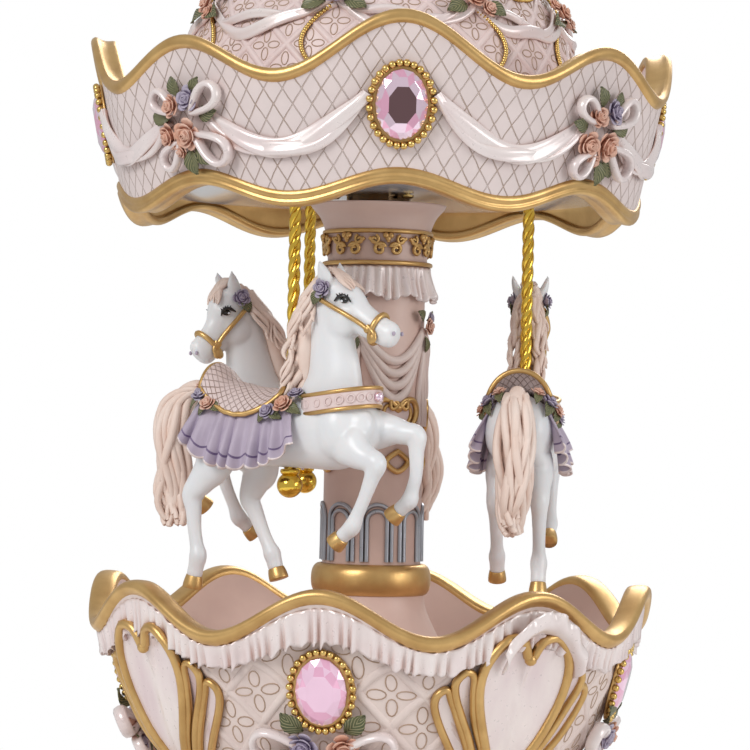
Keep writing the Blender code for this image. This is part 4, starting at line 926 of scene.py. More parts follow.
finialLine = ((0.5, 298), (6.6, 298.6), (6.9, 299.6), (6.4, 300.4), (3.6, 301.2), (2.7, 302.4),
              (3.4, 303.4), (5.0, 304.8), (5.4, 306.8),
              (4.6, 308.8), (2.6, 310.2), (2.2, 311.0), (1.6, 312.6), (0.0, 313.1))
sheetPiece("finialUrn", lathe(finialLine), 48, 60, "carousel", goldPaint, "gold_paint", ["finial"])
print("canopy ornaments made")

# column
columnShape = {
    "skirt": ((46, 50.2), (40, 51.4), (31, 56.8), (25.6, 65.6), (20.8, 74.6), (17.4, 82), (16.4, 88)),
    "shaft": ((15.6, 93), (15.3, 98), (15.3, 120), (15.2, 150), (15.1, 178), (15.4, 188), (16.2, 198),
              (18.0, 203.4), (20.6, 206.6), (21.1, 207.8), (19.6, 207.8), (4.9, 207.8)),
    "torus": ((14.6, 86.3), (16.9, 86.5), (18.3, 88.2), (18.7, 91.2), (18.3, 94.2), (16.9, 95.9),
              (14.6, 96.1)),
}


def columnWall(degrees, z):
    line = ((88, 16.0), (93, 15.5), (98, 15.3), (178, 15.1), (188, 15.4), (198, 16.2), (203.4, 18.0),
            (207.8, 21.1))
    for (z0, r0), (z1, r1) in zip(line, line[1:]):
        if z <= z1:
            break
    return polar(mix(r0, r1, clamp((z - z0) / (z1 - z0))), degrees, z)


bm = bmesh.new()
addSheet(bm, lathe(columnShape["skirt"]), 96, 40, wrap=True)
addSheet(bm, lathe(columnShape["shaft"]), 96, 90, wrap=True)
settle("columnBody", bm, "base", [pinkResin], "pink_resin", ["column_casting"], outward=False)
sheetPiece("columnTorus", lathe(columnShape["torus"]), 96, 26, "base", goldPaint, "gold_paint", outward=False)


def curlPath(x, y, size, turns, start, way):  # a flat spiral
    path = []
    for i in range(23):
        t = i / 22
        reach = size * (0.18 + 0.82 * t)
        turn = start + way * turns * fullTurn * t
        path.append((x + reach * math.cos(turn), y + reach * math.sin(turn)))
    return path


scrolls = []
hearts = bmesh.new()
for k in range(8):
    point = around(columnWall, 11 + 45 * k, 194.0, 16.6)
    for side in (-1, 1):
        curl = curlPath(2.5 * side, -0.6, 2.0, 1.35, 0.5 if side > 0 else math.pi - 0.5, side)
        tailEnd = curl[-1]
        curl += [(mix(tailEnd[0], 5.8 * side, t), tailEnd[1] + 2.6 * t * t) for t in (0.25, 0.5, 0.75, 1.0)]
        scrolls.append([point(x, y, 0.9) for x, y in curl])
        lift = curlPath(4.2 * side, 2.3, 1.5, 1.2, math.pi if side > 0 else 0, -side)
        scrolls.append([(*point(x, y, 0.9), 0.8) for x, y in lift])
    for x, y, size in ((-0.75, 3.6, 1.0), (0.75, 3.6, 1.0), (0, 2.7, 0.95), (0, 1.9, 0.6)):
        addBall(hearts, point(x, y, 1.0), size, fine=2)
wires("columnScrolls", scrolls, 0.62, "base", [goldPaint], "gold_paint", resolution=2)
settle("columnHearts", hearts, "base", [goldPaint], "gold_paint")
rings = [[polar(16.6, 360 * k / 64, z) for k in range(64)] for z in (189.2, 199.0)]
wires("columnRings", rings, 0.75, "base", [goldPaint], "gold_paint", closed=True, resolution=2)


def collarPlace(u, v):
    turn = u * fullTurn
    phase = 38 * turn + 0.8 * math.sin(11 * turn)
    reach = 16.3 + 2.2 * v ** 1.4 + 0.65 * math.sin(phase) * (0.4 + 0.9 * v) + 0.9 * v * math.sin(9 * turn)
    hem = 188.2 - 9.6 * v - 0.9 * v * math.cos(9 * turn + 1) - 0.4 * v * math.cos(phase)
    return polar(reach, 360 * u - 180, hem)


sheetPiece("columnCollar", collarPlace, 304, 12, "base", pearl, "pink_resin", outward=False, thick=0.4)
strands = []
for k in range(4):
    for fold in range(4):
        path = []
        for i in range(30):
            t = i / 29
            a = -22 + 90 * k + 90 * t
            z = 169 - fold * 0.9 - (10 + 3.0 * fold) * math.sin(math.pi * t) ** 1.2
            lift = 0.5 + 0.3 * math.sin(t * 9 + fold)
            path.append((*raised(columnWall, a, z, lift), 0.75 + 0.45 * math.sin(math.pi * t)))
        strands.append(path)
    for fold in range(3):
        path = []
        for i in range(20):
            t = i / 19
            a = -22 + 90 * k + (fold - 1) * 9 * t + 3 * math.sin(t * 7 + fold)
            path.append((*raised(columnWall, a, 169 - 30 * t, 0.5), 1.0 - 0.25 * t))
        strands.append(path)
wires("columnSwags", strands, 1.25, "base", [paleResin], "pink_resin", resolution=2)
columnPosy = (
    ("leaf", -1.5, 2, 5.0, 150), ("leaf", 1.5, 2, 5.0, 30), ("leaf", 0, -3, 5.0, -90), ("peach", 0, 0, 2.6),
    ("purple", 1.8, 2.6, 1.8),
)
for k in range(4):
    point = around(columnWall, 68 + 90 * k, 170.0, 15.2)
    posyPiece(f"columnPosy{k + 1}", point, 0.6, "base", columnPosy, 90 + k)
halfHeart = ((0, -6.6), (3.0, -3.8), (5.8, -0.4), (6.8, 3.0), (5.4, 5.8), (2.6, 5.8), (0, 3.4))
heartRims = []
fills = bmesh.new()
for k in range(4):
    point = around(columnWall, 28 + 90 * k, 141.0, 15.3)
    outline = closedLine([*halfHeart, *[(-x, y) for x, y in halfHeart[-2:0:-1]]], 40)
    heartRims.append([point(x, y, 0.9) for x, y in outline])
    heartRims.append([(*point(x * 0.68, y * 0.68 + 0.2, 0.7), 0.6) for x, y in outline])

    def fill(u, v, line=outline, point=point):
        x, y = glide([*line, line[0]], u)
        return point(x * v, y * v, 0.35 + 0.3 * (1 - v * v))

    addSheet(fills, fill, 40, 6, wrap=True)
    diamond = [(0, 4.2), (3.6, 0), (0, -4.2), (-3.6, 0)]
    heartRims.append([(*point(x, y * 0.75 - 13.0, 0.8), 0.9) for x, y in closedLine(diamond, 20)])
    for side in (-1, 1):
        bow = []
        for i in range(16):
            t = i / 15
            x, y = side * (0.2 + 2.6 * math.sin(math.pi * t)), 4.6 + 1.9 * math.sin(fullTurn * t) * 0.8
            bow.append((*point(x, y, 1.5), 0.6))
        heartRims.append(bow)
settle("columnHeartFills", fills, "base", [roseResin], "pink_resin", outward=False)
wires("columnHeartRims", heartRims, 1.0, "base", [goldPaint], "gold_paint", closed=True, resolution=2)
arches = []
for k in range(8):
    point = around(columnWall, 6 + 45 * k, 98.0, 15.4)
    for half, top in ((4.6, 16.6), (3.1, 14.6)):
        path = [(-half, -1.0), (-half, 4.0)]
        for i in range(13):
            turn = math.pi * i / 12
            path.append((-half * math.cos(turn), top - half + half * math.sin(turn)))
        path += [(half, 4.0), (half, -1.0)]
        arches.append([point(x, y, 0.35) for x, y in path])
wires("columnArches", arches, 0.7, "base", [pewter], "gold_paint", resolution=1)
print("column made")

# twisted brass poles and their balls
poleShape = {
    "angles": (-32.0, 88.0, 208.0), "ring": 47.0, "low": 121.0, "high": 213.0, "pitch": 13.5, "strand": 1.08,
    "core": 0.85, "ball": 3.85, "ballHeight": 120.5,
    "collar": ((1.2, 125.4), (2.7, 125.2), (2.9, 124.4), (2.3, 123.6), (1.2, 123.4)),
}
for number, angle in enumerate(poleShape["angles"]):
    foot = polar(poleShape["ring"], angle)
    strands = []
    for k in range(3):
        path = []
        for i in range(141):
            z = mix(poleShape["low"], poleShape["high"], i / 140)
            turn = fullTurn * (z / poleShape["pitch"] + k / 3)
            core = poleShape["core"]
            path.append((foot.x + core * math.sin(turn), foot.y - core * math.cos(turn), z))
        strands.append(path)
    wires(f"poleTwist{number + 1}", strands, poleShape["strand"], "carousel", [brassPlate], "brass_plate",
          resolution=2,
          replaces=[f"pole_{number + 1}"])
    bm = bmesh.new()
    addBall(bm, Vector((foot.x, foot.y, poleShape["ballHeight"])), poleShape["ball"], fine=4)
    collar = lathe(poleShape["collar"])
    addSheet(bm, lambda u, v, foot=foot, collar=collar: foot + collar(u, v), 32, 12, wrap=True)
    settle(f"poleBall{number + 1}", bm, "carousel", [brassPlate], "brass_plate",
           [f"pole_ball_{number + 1}"], outward=False)
print("poles made")

# horses
torsoLine = ((-33, 0, 21, 3.5, 3.5), (-30, 0, 20.5, 7.4, 6.4), (-22, 0, 18.5, 10.6, 9.4),
             (-8, 0, 16.2, 10.6, 9.2),
             (6, 0, 16, 10.9, 9.0), (17, 0, 17, 12.0, 9.2), (25, 0, 19.2, 9.6, 7.4),
             (29.5, 0, 20.5, 4.6, 4.0))
neckLine = ((11, 0, 19, 12.5, 7.0), (15.0, 0, 30, 9.6, 5.6), (14.6, 0, 40, 7.8, 4.6),
            (13.4, 0, 49, 6.6, 4.2), (14.0, 0, 56.5, 5.2, 3.9))
headLine = ((9.8, 0, 59.5, 2.6, 2.6), (14.0, 0, 58.4, 5.0, 4.0), (19.0, 0, 54.4, 6.1, 4.5),
            (23.4, 0, 50.6, 5.0, 3.8),
            (27.8, 0, 48.0, 4.4, 3.5), (31.6, 0, 46.2, 4.1, 3.4), (34.8, 0, 44.8, 3.9, 3.3),
            (36.8, 0, 44.0, 2.4, 2.3))
cheeks = (((19.0, 2.3, 49.4), (5.6, 3.1, 5.4)), ((14.0, 2.0, 52.5), (4.0, 2.4, 4.2)))
muscles = (((-24, 4.0, 17.5), (9.5, 6.6, 10.0)), ((19, 4.2, 17.0), (7.5, 6.0, 9.5)),
           ((26.0, 2.8, 18.0), (5.0, 4.2, 5.5)))
earLine = ((13.8, 2.6, 58.5, 2.5, 1.9), (13.6, 4.2, 62.4, 2.5, 1.5), (13.0, 5.2, 65.2, 1.4, 0.9),
           (12.5, 5.6, 67.2, 0.3, 0.3))
foreNear = ((22.0, 5.0, 14.0, 8.0, 5.0), (28.0, 6.0, 10.0, 5.0, 4.2), (35.0, 7.0, 7.0, 3.1, 3.0),
            (31.0, 7.0, -3.0, 2.5, 2.4), (27.0, 7.0, -11.5, 2.5, 2.4), (22.5, 7.0, -15.5, 2.9, 2.8))
foreFar = ((22.0, 5.0, 17.0, 8.0, 5.0), (32.0, 6.0, 17.0, 4.6, 4.0), (40.0, 7.0, 15.5, 3.0, 2.9),
           (40.0, 7.0, 4.0, 2.5, 2.4), (38.0, 7.0, -3.5, 2.5, 2.4), (33.5, 7.0, -7.5, 2.9, 2.8))
hindNear = ((-22.0, 4.0, 15.0, 9.5, 5.5), (-23.5, 6.0, 6.0, 6.5, 4.8), (-30.5, 7.0, -3.5, 3.4, 3.0),
            (-29.5, 7.0, -14.0, 2.7, 2.5), (-28.0, 7.0, -22.0, 2.6, 2.5), (-29.5, 7.0, -29.5, 3.1, 3.0))
hindFar = ((-20.0, 4.0, 15.0, 9.5, 5.5), (-15.0, 6.0, 5.0, 6.5, 4.8), (-19.0, 7.0, -4.5, 3.4, 3.0),
           (-14.0, 7.0, -14.5, 2.7, 2.5), (-10.5, 7.0, -21.0, 2.6, 2.5), (-8.5, 7.0, -26.5, 3.1, 3.0))
hindRaised = ((-22.0, 4.0, 15.0, 9.5, 5.5), (-22.0, 6.0, 6.0, 6.5, 4.8), (-29.0, 7.0, -2.0, 3.4, 3.0),
              (-34.0, 7.0, -8.5, 2.7, 2.5), (-36.5, 7.0, -13.0, 2.6, 2.5), (-35.0, 7.0, -18.0, 2.9, 2.8))
maneCore = ((12.0, 0, 61.5, 1.6, 1.8), (8.0, 0, 56.5, 3.0, 3.0), (5.8, 0, 48.0, 3.4, 3.6),
            (5.6, 0, 38.5, 3.2, 3.8), (6.4, 0, 30.0, 1.8, 2.4))
tailCore = ((-27.0, 0, 23.5, 2.2, 2.2), (-34.0, 0, 28.6, 2.7, 2.5), (-41.0, 0, 24.0, 3.0, 2.9),
            (-43.2, 0, 10.0, 3.4, 3.2), (-43.0, 0, -4.0, 3.0, 2.9), (-41.0, 0, -13.0, 1.2, 1.2))
crest = ((14.5, 63.2), (10.5, 62.4), (6.6, 57.5), (5.0, 50), (4.6, 42), (5.0, 34), (6.8, 28))
strapLines = (
    ((28.8, 3.8, 46.6), (26.0, 4.4, 48.6), (22.0, 5.5, 51.0), (17.0, 5.4, 53.4), (11.5, 4.6, 56.0)),
    ((28.8, 3.9, 47.6), (31.2, 3.9, 45.0), (30.0, 3.8, 42.6)),
)
faceBalls = (  # eye, its glint, nostril (a sunk lilac ball as painted shade in its hollow) and two bridle buttons: spot, radius, look, scale, fineness
    ((20.9, 4.6, 55.2), 1.0, 0, (1.5, 0.5, 0.95), 3), ((20.3, 4.98, 54.9), 1.0, 2, (0.55, 0.25, 0.4), 2),
    ((37.0, 2.3, 45.4), 1.0, 3, (0.6, 0.4, 0.7), 2), ((28.8, 3.9, 46.6), 1.3, 1, (1, 0.6, 1), 2),
    ((30.6, 3.9, 44.0), 1.5, 1, (1, 0.5, 1.2), 2),
)
lidLine = (
    (23.2, 4.35, 54.6, 0.7), (22.2, 4.85, 56.0, 1.8), (20.6, 5.1, 56.6, 2.2), (18.9, 5.0, 56.0, 1.8),
    (17.6, 4.9, 54.9, 0.7),
)
saddleRoses = (  # along the back, round the side, size and look
    (3.4, 0.95, 3.2, 0), (-1.6, 1.12, 2.6, 1), (-26.6, 0.98, 3.2, 1), (-22.8, 1.16, 2.7, 0),
    (-28.6, 0.62, 2.4, 0), (6.0, 0.6, 2.5, 1),
)
poll = Vector((14.0, 0, 56.0))
nearLegs, farLegs = (foreNear, hindNear), (foreFar, hindFar)
horsePlans = (
    {"angle": -32.0, "yaw": 0.0, "nod": 0.0, "lean": 0.0, "right": nearLegs, "left": farLegs, "rose": -1},
    {"angle": 88.0, "yaw": -4.5, "nod": 6.0, "lean": 0.0, "right": nearLegs, "left": farLegs, "rose": -1},
    {"angle": 208.0, "yaw": 0.0, "nod": 13.0, "lean": 0.33, "right": (foreFar, hindRaised),
     "left": (foreNear, hindFar), "rose": 1},
)
saddlePaint = scratchedLook("saddleScratched", (0.76, 0.62, 0.60), (0.36, 0.22, 0.17), 12, 12, 0.09,
                            mapped=True)


def addLimb(bm, points, side=1.0, bend=None, sides=18, rings=40, tip=0.07, blunt=False):
    def middle(t):
        ahead, left, up, high, wide = glide(points, t)
        return Vector((ahead, left * side, up)), high, wide

    def place(u, v):
        here, high, wide = middle(v)
        way = (middle(min(1.0, v + 0.02))[0] - middle(max(0.0, v - 0.02))[0]).normalized()
        across = Vector((0, 1, 0))
        over = way.cross(across).normalized()
        ends = math.sqrt(max(0.0, 1 - (1 - min(v / tip, 1)) ** 2))
        if not blunt or v > 0.999:
            ends *= math.sqrt(max(0.0, 1 - (1 - min((1 - v) / (tip if not blunt else 0.001), 1)) ** 2))
        turn = u * fullTurn
        spot = here + across * wide * ends * math.cos(turn) + over * high * ends * math.sin(turn)
        return bend(spot) if bend else spot

    addSheet(bm, place, sides, rings, wrap=True)


def fineLeg(leg):  # knee, cannon bone and fetlock added between a leg's main points
    def between(a, b, share, fit):
        p = [mix(x, y, share) for x, y in zip(a, b)]
        return (*p[:3], p[3] * fit, p[4] * fit)
    p0, p1, p2, p3, p4, p5 = leg
    return (
        p0, p1, between(p1, p2, 0.5, 0.95), between(p2, p2, 0, 1.02), between(p2, p3, 0.4, 0.86),
        between(p3, p3, 0, 0.82), between(p3, p4, 0.6, 0.84), between(p4, p4, 0, 1.08),
        between(p4, p5, 0.5, 0.86), between(p5, p5, 0, 0.86),
    )


def hoofOf(leg):
    p4, p5 = Vector(leg[4][:3]), Vector(leg[5][:3])
    way = (p5 - p4).normalized()
    spots = ((p4.lerp(p5, 0.78), 2.5), (p4.lerp(p5, 1.0), 2.85), (p5 + way * 1.4, 3.05),
             (p5 + way * 2.4, 3.05))
    return [(*spot, size, size * 0.92) for spot, size in spots]


def torsoSkin(ahead, turn, lift):  # turn from the top, towards the left, in radians
    share = 0.0
    for i in range(60):  # where along the torso this is
        share = i / 59
        if glide(torsoLine, share)[0] >= ahead:
            break
    _, _, up, high, wide = glide(torsoLine, share)
    return Vector((ahead, (wide + lift) * math.sin(turn), up + (high + lift) * math.cos(turn)))


def makeHorse(number, plan):
    foot = polar(poleShape["ring"], plan["angle"], poleShape["ballHeight"])
    facing = math.radians(plan["angle"] + plan["yaw"])
    place = Matrix.Translation(foot) @ Matrix.Rotation(facing, 4, "Z")
    nodding = Matrix.Rotation(math.radians(plan["nod"]), 3, "Y")
    name = f"horse{number}"
    chance = random.Random(number)

    def sway(spot):
        return Vector((spot[0] + plan["lean"] * max(0.0, spot[2] - 20.0), spot[1], spot[2]))

    def bend(spot):
        return sway(poll + nodding @ (spot - poll))

    def stand(bm, label, looks, slot, **extra):
        bmesh.ops.transform(bm, matrix=place, verts=bm.verts)
        settle(name + label, bm, "carousel", looks, slot, **extra)

    def cords(label, paths, radius, looks, slot, closed=False, resolution=1):
        moved = [[(*(place @ Vector(spot[:3])), *spot[3:]) for spot in path] for path in paths]
        wires(name + label, moved, radius, "carousel", looks, slot, closed, resolution)

    bm = bmesh.new()
    addLimb(bm, torsoLine, sides=32, rings=60)
    addLimb(bm, neckLine, bend=sway, sides=28, rings=50)
    addLimb(bm, headLine, bend=bend, sides=28, rings=50)
    for side in (-1, 1):
        addLimb(bm, earLine, side, bend, sides=14, rings=24)
        for (x, y, z), size in cheeks:
            addBall(bm, bend(Vector((x, y * side, z))), 1.0, 0, size, fine=3)
        for (x, y, z), size in muscles:
            addBall(bm, Vector((x, y * side, z)), 1.0, 0, size, fine=3)
        addBall(bm, bend(Vector((20.6, 4.0 * side, 55.6))), 1.0, 0, (2.2, 0.9, 1.5), fine=2)
        addBall(bm, bend(Vector((35.0, 1.9 * side, 45.6))), 1.0, 0, (1.6, 1.1, 1.4), fine=2)
    for side, legs in ((-1, plan["right"]), (1, plan["left"])):
        for leg in legs:
            addLimb(bm, fineLeg(leg), side, sides=20, rings=60)
    bmesh.ops.transform(bm, matrix=place, verts=bm.verts)
    bmesh.ops.recalc_face_normals(bm, faces=bm.faces)
    mesh = bpy.data.meshes.new(name + "Lump")
    bm.to_mesh(mesh)
    bm.free()
    lump = bpy.data.objects.new(name + "Lump", mesh)
    bpy.context.scene.collection.objects.link(lump)
    melt = lump.modifiers.new("melt", "REMESH")
    melt.mode = "VOXEL"
    melt.voxel_size = 0.55
    soften = lump.modifiers.new("soften", "SMOOTH")
    soften.factor = 0.5
    soften.iterations = 9
    bpy.context.view_layer.update()
    skin = bpy.data.meshes.new_from_object(lump.evaluated_get(bpy.context.evaluated_depsgraph_get()))
    bpy.data.objects.remove(lump)
    skin.transform(Matrix.Scale(mm, 4))
    skin.shade_smooth()
    finishPiece(name + "Body", skin, "carousel", [horseWhite], "horse_resin", [f"horse_{number}"])

    bm = bmesh.new()
    for side, legs in ((-1, plan["right"]), (1, plan["left"])):
        for leg in legs:
            addLimb(bm, hoofOf(leg), side, sides=20, rings=20, tip=0.02, blunt=True)
    stand(bm, "Hooves", [goldPaint], "gold_paint")

    bm = bmesh.new()
    addLimb(bm, maneCore, bend=sway, sides=16, rings=30)
    addLimb(bm, tailCore, sides=16, rings=40)
    stand(bm, "HairCore", [hairPeach], "rose_resin")
    strands = []
    for n in range(44):
        t0 = (n % 22) / 21
        side = -1 if n < 22 else 1
        x0, z0 = glide(crest, t0)
        long = chance.uniform(15, 22)
        phase = chance.uniform(0, 6)
        path = []
        for i in range(16):
            t = i / 15
            x = x0 - 3.8 * math.sin(math.pi * 0.62 * t) + 1.7 * t ** 0.5 * math.sin(9 * t + phase)
            x -= 1.5 * t * (t0 < 0.3)
            y = side * (0.7 + 4.9 * t ** 0.75 + 0.8 * math.sin(8 * t + phase))
            thick = 0.25 + 1.3 * (1 - t) ** 0.5 * (0.75 + 0.25 * math.sin(5 * t + phase))
            path.append((*sway((x, y, z0 + 1.6 * math.sin(math.pi * t * 0.5) - long * t)), thick))
        strands.append(path)
    for n in range(9):  # forelock
        side = (n - 4) / 4
        path = []
        for i in range(12):
            t = i / 11
            y = side * (1.2 + 2.4 * t) + 0.9 * math.sin(7 * t + n)
            z = 64.2 - 4.6 * t ** 1.5 - 1.4 * abs(side) * t
            path.append((*bend(Vector((13.5 + 9.0 * t, y, z))), 0.25 + 1.0 * (1 - t) ** 0.6))
        strands.append(path)
    for n in range(36):
        turn = fullTurn * n / 36
        reach = 0.8 + 0.35 * (n % 3) / 2
        phase = chance.uniform(0, 6)
        last = chance.uniform(0.86, 1.0)
        path = []
        for i in range(26):
            t = i / 25
            x, y, z, high, wide = glide(tailCore, 0.12 + (last - 0.12) * t)
            swell = (high + 0.2) * reach * math.sin(math.pi * clamp(0.12 + 0.8 * t)) ** 0.5
            curl = 0.4 + 2.2 * t
            waveX = curl * math.sin(10 * t + phase)
            waveY = curl * 0.8 * math.sin(8 * t + phase * 2)
            thick = 0.25 + 1.15 * math.sin(math.pi * clamp(0.16 + 0.76 * (1 - t))) ** 0.8
            x, y = x + swell * math.cos(turn) + waveX, y + swell * math.sin(turn) + waveY
            path.append((x, y, z - 0.8 * t, thick))
        strands.append(path)
    cords("Hair", strands, 1.0, [hairPeach], "rose_resin")

    bm = bmesh.new()

    def seat(u, v):  # saddle, cantle at v = 0
        ahead = mix(-27.0, 0.5, v)
        half = 1.24 * math.sin(math.pi * mix(0.2, 0.86, v)) ** 0.8
        turn = (u - 0.5) * 2 * half
        cantle = 5.2 * ease((-19.5 - ahead) / 7.5) * math.cos(turn) ** 2
        horn = 2.0 * ease((ahead + 3.5) / 4.0) * math.cos(turn) ** 3
        return torsoSkin(ahead, turn, 1.9 + cantle + horn)

    addSheet(bm, seat, 30, 36)
    stand(bm, "Saddle", [saddlePaint], "rose_resin", outward=False, thick=1.1)
    rimPath = [seat(i / 20, 0.0) for i in range(20)] + [seat(1.0, i / 24) for i in range(24)]
    rimPath += [seat(1 - i / 20, 1.0) for i in range(20)] + [seat(0.0, 1 - i / 24) for i in range(24)]
    cords("SaddleRim", [rimPath], 0.85, [goldPaint], "gold_paint", closed=True, resolution=2)

    bm = bmesh.new()
    for side in (-1, 1):
        def skirt(u, v, side=side):
            ahead = mix(-27.0, 5.5, u)
            phase = u * fullTurn * 8.5 + 1.1 * math.sin(u * 17) + 0.8 * v
            top = torsoSkin(ahead, side * 0.92, 1.2)
            pleat = math.sin(phase) * (1 + 0.3 * math.sin(u * 31))
            out = 3.8 * v ** 1.1 + pleat * (0.15 + 1.5 * v ** 1.2)
            hem = 4.8 + 0.8 * math.cos(phase) + 8.5 * abs(2 * u - 1) ** 2.4
            spread = (u - 0.5) * 9.0 * v
            belly = 1.6 * math.sin(math.pi * v * 0.6)
            return Vector((top.x + spread, top.y + side * (out + belly), mix(top.z, hem, v)))

        addSheet(bm, skirt, 150, 28, look=lambda u, v: 2 if v > 0.95 else (1 if 0.80 < v < 0.83 else 0))
    stand(bm, "Skirt", [lilac, lilacDark, pearl], "rose_resin", outward=False, thick=0.5)

    bm = bmesh.new()

    def strap(u, v, grow=0.0):  # breast collar
        turn = mix(-2.35, 2.35, u)
        x = 9.0 + (20.6 + grow) * math.cos(turn * 0.68)
        y = (9.2 + grow) * math.sin(turn)
        z = 25.6 + 1.2 * math.cos(turn) - 2.6 * (1 - math.cos(turn)) * 0.2
        return Vector((x, y, z + (v - 0.5) * 5.4))

    addSheet(bm, strap, 60, 6)
    stand(bm, "Collar", [roseResin], "rose_resin", outward=False, thick=1.2)
    trims = [[strap(i / 40, v, 0.5) for i in range(41)] for v in (0.0, 1.0)]
    cords("CollarTrim", trims, 0.65, [goldPaint], "gold_paint", resolution=2)
    rings = []
    for k in range(15):
        centre = strap((k + 0.5) / 15, 0.5, 0.7)
        beyond = strap((k + 0.52) / 15, 0.5, 0.7)
        ahead = (beyond - centre).normalized()
        ring = []
        for i in range(10):
            t = fullTurn * i / 10
            ring.append(centre + ahead * 1.15 * math.cos(t) + Vector((0, 0, 1.15 * math.sin(t))))
        rings.append(ring)
    cords("CollarRings", rings, 0.26, [roseResin], "rose_resin", closed=True)
    bm = bmesh.new()
    addBall(bm, strap(0.5, 0.5, 1.2), 1.5, fine=3)
    stand(bm, "CollarBead", [stonePale], "pink_stone")

    noseband = {"at": 0.66, "fit": 0.35}
    ahead, _, up, high, wide = glide(headLine, noseband["at"])
    further = glide(headLine, noseband["at"] + 0.03)
    side = Vector((0, 1, 0))
    over = Vector((further[0] - ahead, 0, further[2] - up)).normalized().cross(side)
    loop = []
    for i in range(32):
        turn = fullTurn * i / 32
        spot = Vector((ahead, 0, up)) + side * (wide + noseband["fit"]) * math.cos(turn)
        loop.append(bend(spot + over * (high + noseband["fit"]) * math.sin(turn)))
    cords("BridleLoops", [loop], 0.9, [goldPaint], "gold_paint", closed=True, resolution=2)
    straps = []
    for side in (-1, 1):
        for line in strapLines:
            path = [bend(Vector((x, y * side, z))) for x, y, z in line]
            straps.append([Vector(glide(path, i / 20)) for i in range(21)])
    cords("BridleStraps", straps, 0.75, [goldPaint], "gold_paint", resolution=2)
    bm = bmesh.new()
    for side in (-1, 1):
        for (x, y, z), radius, look, scale, fine in faceBalls:
            addBall(bm, bend(Vector((x, y * side, z))), radius, look, scale, fine)
    stand(bm, "Eyes", [ink, goldPaint, whiteGloss, lilac], "horse_resin")
    lashes = []
    for side in (-1, 1):
        for k in range(5):
            start = Vector((19.3 + k * 0.75, 4.9 * side, 56.2 + 0.25 * math.sin(k)))
            ends = ((0, 0, 0, 1.0), (-0.4 + 0.15 * k, 0.35, 0.5, 0.8), (-0.8 + 0.3 * k, 0.5, 0.9, 0.3))
            lashes.append([(*bend(start + Vector((x, y * side, z))), thick) for x, y, z, thick in ends])
        lashes.append([(*bend(Vector((x, y * side, z))), thick) for x, y, z, thick in lidLine])
    cords("Lashes", lashes, 0.3, [ink], "horse_resin")

    bm = bmesh.new()
    for which in (plan["rose"], -plan["rose"]):
        root = bend(Vector((13.2, 4.6 * which, 58.6)))
        addRose(bm, root, bend(root + Vector((0.15, which, 0.15))) - bend(root), 2.9, 1, number)
        addLeaf(bm, root, Vector((-0.5, 0, -0.8)).normalized(), Vector((0, which, 0)), 5.5, 3.2)
        for x, turn, size, look in saddleRoses:
            spot = torsoSkin(x, turn * which, 2.4)
            away = (spot - Vector((x, 0, 16))).normalized()
            addRose(bm, spot, away, size, look, int(x * 3 + which))
            for lean in (-0.9, 0.7):
                along = (Vector((math.sin(lean * 2), 0, math.cos(lean * 2) - 0.5)) - away * 0.2).normalized()
                addLeaf(bm, spot, along, away, size * 1.9, size * 1.1)
    stand(bm, "Posies", flowerLooks, "rose_resin", outward=False, thick=0.26)
    print("horse", number, "made")


for i, plan in enumerate(horsePlans):
    makeHorse(i + 1, plan)

# looks of the CAD pieces that stay as they are
carriedLooks = {
    "felt_ring": darkFelt, "bottom_cover": board, "cover_screw": steel, "canopy_plate": whiteGloss,
    "hub": shadedBrass, "hub_screw": machined, "drive_shaft": steel, "shaft_nut": steel, "shaft_bush": machined,
    "spring_barrel": machined, "barrel_cap": machined, "mainspring": steel, "winding_arbor": steel,
    "winding_key": brassPlate, "bedplate": castMetal, "governor_bracket": castMetal, "bracket_screw": steel,
    "movement_screw": steel, "comb": steel, "comb_screw": steel, "pinned_drum": machined,
    "governor_wheel": machined, "governor_fly": machined, "pole": brassPlate, "pole_ball": brassPlate,
    "bowl_casting": pinkResin, "column_casting": pinkResin, "valance": paleResin, "dome": roseResin,
    "finial": goldPaint, "horse": horseWhite, "base_jewel": stoneRose, "canopy_jewel": stoneRose,
    "base_roses": rosePeach, "canopy_roses": rosePeach,
}
for name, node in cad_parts.items():
    kind = name.rstrip("0123456789").rstrip("_")
    node.data.materials.clear()
    node.data.materials.append(carriedLooks[kind])
print("carried-over pieces given their looks")

# floor, light and camera
viewPlan = {"lens": 153.6, "away": 1.0, "height": 0.1356, "tilt": 1.1, "roll": 1.2}
stagePlan = {"floorRadius": 360, "fadeFrom": 0.12, "fadeTo": 0.35, "drop": 0.0002, "glow": 0.5}
scene = bpy.context.scene
world = bpy.data.worlds.new("paleRoom")
world.use_nodes = True
glow = world.node_tree.nodes["Background"]
glow.inputs["Color"].default_value = (1.0, 1.0, 1.0, 1)
glow.inputs["Strength"].default_value = stagePlan["glow"]
bareWall = {"Color": (1.0, 1.0, 1.0, 1), "Strength": 1.0}  # the bare wall behind stays white
seen = addNode(world, "Background", bareWall)
rays = addNode(world, "LightPath", {})
halves = {"Fac": rays.outputs["Is Camera Ray"], 1: glow.outputs["Background"], 2: seen.outputs["Background"]}
either = addNode(world, "MixShader", halves)
worldEnd = world.node_tree.nodes["World Output"].inputs["Surface"]
world.node_tree.links.new(either.outputs["Shader"], worldEnd)
scene.world = world
scene.view_settings.view_transform = "Standard"
bm = bmesh.new()
bmesh.ops.create_circle(bm, cap_ends=True, segments=96, radius=stagePlan["floorRadius"])
bmesh.ops.scale(bm, verts=bm.verts, vec=(mm, mm, mm))
mesh = bpy.data.meshes.new("paleFloor")
bm.to_mesh(mesh)
bm.free()
floorLook = newLook("paleFloor", (0.86, 0.85, 0.84), (0.86, 0.85, 0.84), rough=0.6, grain=60, relief=0.02)
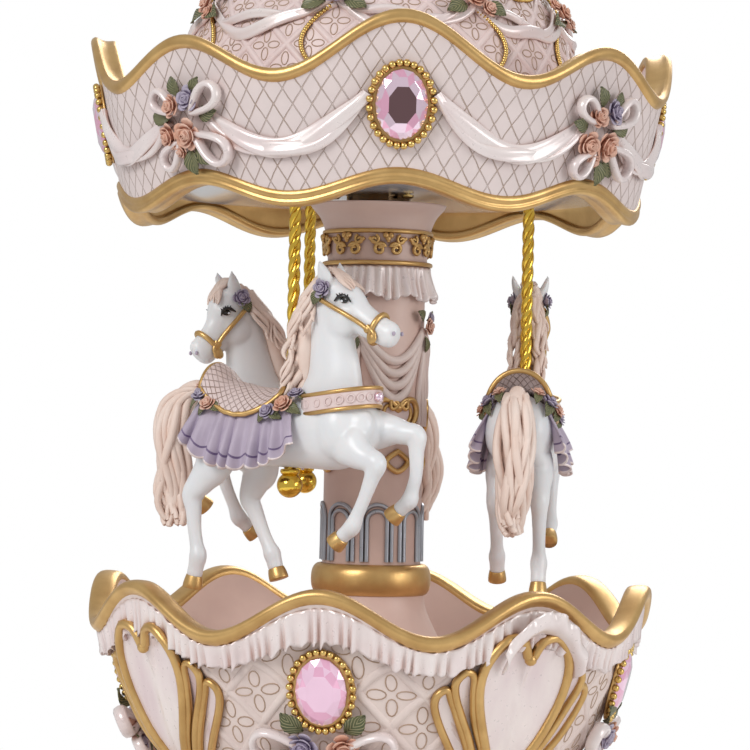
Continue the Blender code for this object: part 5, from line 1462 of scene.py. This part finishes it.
floorShader, _, coords = takeOver(floorLook)
middle = addNode(floorLook, "VectorMath", {0: coords.outputs["Object"]}, operation="LENGTH")
fade = addRange(floorLook, middle.outputs["Value"], stagePlan["fadeFrom"], stagePlan["fadeTo"],
                interpolation_type="SMOOTHSTEP")  # the floor fades into the white wall
bare = addNode(floorLook, "Emission", {})
halves = {"Fac": fade, 1: floorShader.outputs["BSDF"], 2: bare.outputs["Emission"]}
blend = addNode(floorLook, "MixShader", halves)
floorEnd = floorLook.node_tree.nodes["Material Output"].inputs["Surface"]
floorLook.node_tree.links.new(blend.outputs["Shader"], floorEnd)
mesh.materials.append(floorLook)
floor = bpy.data.objects.new("paleFloor", mesh)
floor.location.z = -stagePlan["drop"]
scene.collection.objects.link(floor)
floor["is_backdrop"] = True


def softLight(name, spot, aim, size, power):
    lamp = bpy.data.lights.new(name, "AREA")
    lamp.shape = "RECTANGLE"
    lamp.size = size
    lamp.size_y = size
    lamp.energy = power
    holder = bpy.data.objects.new(name, lamp)
    holder.location = spot
    holder.rotation_euler = (Vector(aim) - Vector(spot)).to_track_quat("-Z", "Y").to_euler()
    scene.collection.objects.link(holder)


softLight("keyLight", (-0.7, -0.9, 0.75), (0, 0, 0.16), 0.5, 7.0)
softLight("sideLight", (0.9, -0.5, 0.35), (0, 0, 0.15), 0.5, 3.0)
softLight("backLight", (0.3, 0.9, 0.8), (0, 0, 0.18), 0.6, 5.0)
print("lights and floor made")

lens = bpy.data.cameras.new("mainCamera")
lens.lens = viewPlan["lens"]
lens.sensor_width = 36
viewer = bpy.data.objects.new("mainCamera", lens)
viewer.location = (0, -viewPlan["away"], viewPlan["height"])
tilting = Matrix.Rotation(math.radians(90 + viewPlan["tilt"]), 3, "X")
rolling = Matrix.Rotation(math.radians(viewPlan["roll"]), 3, "Z")
viewer.rotation_euler = (tilting @ rolling).to_euler()
scene.collection.objects.link(viewer)
scene.camera = viewer
size = {"cad": [list(c) for c in cadBounds], "visual": [list(c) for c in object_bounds()]}
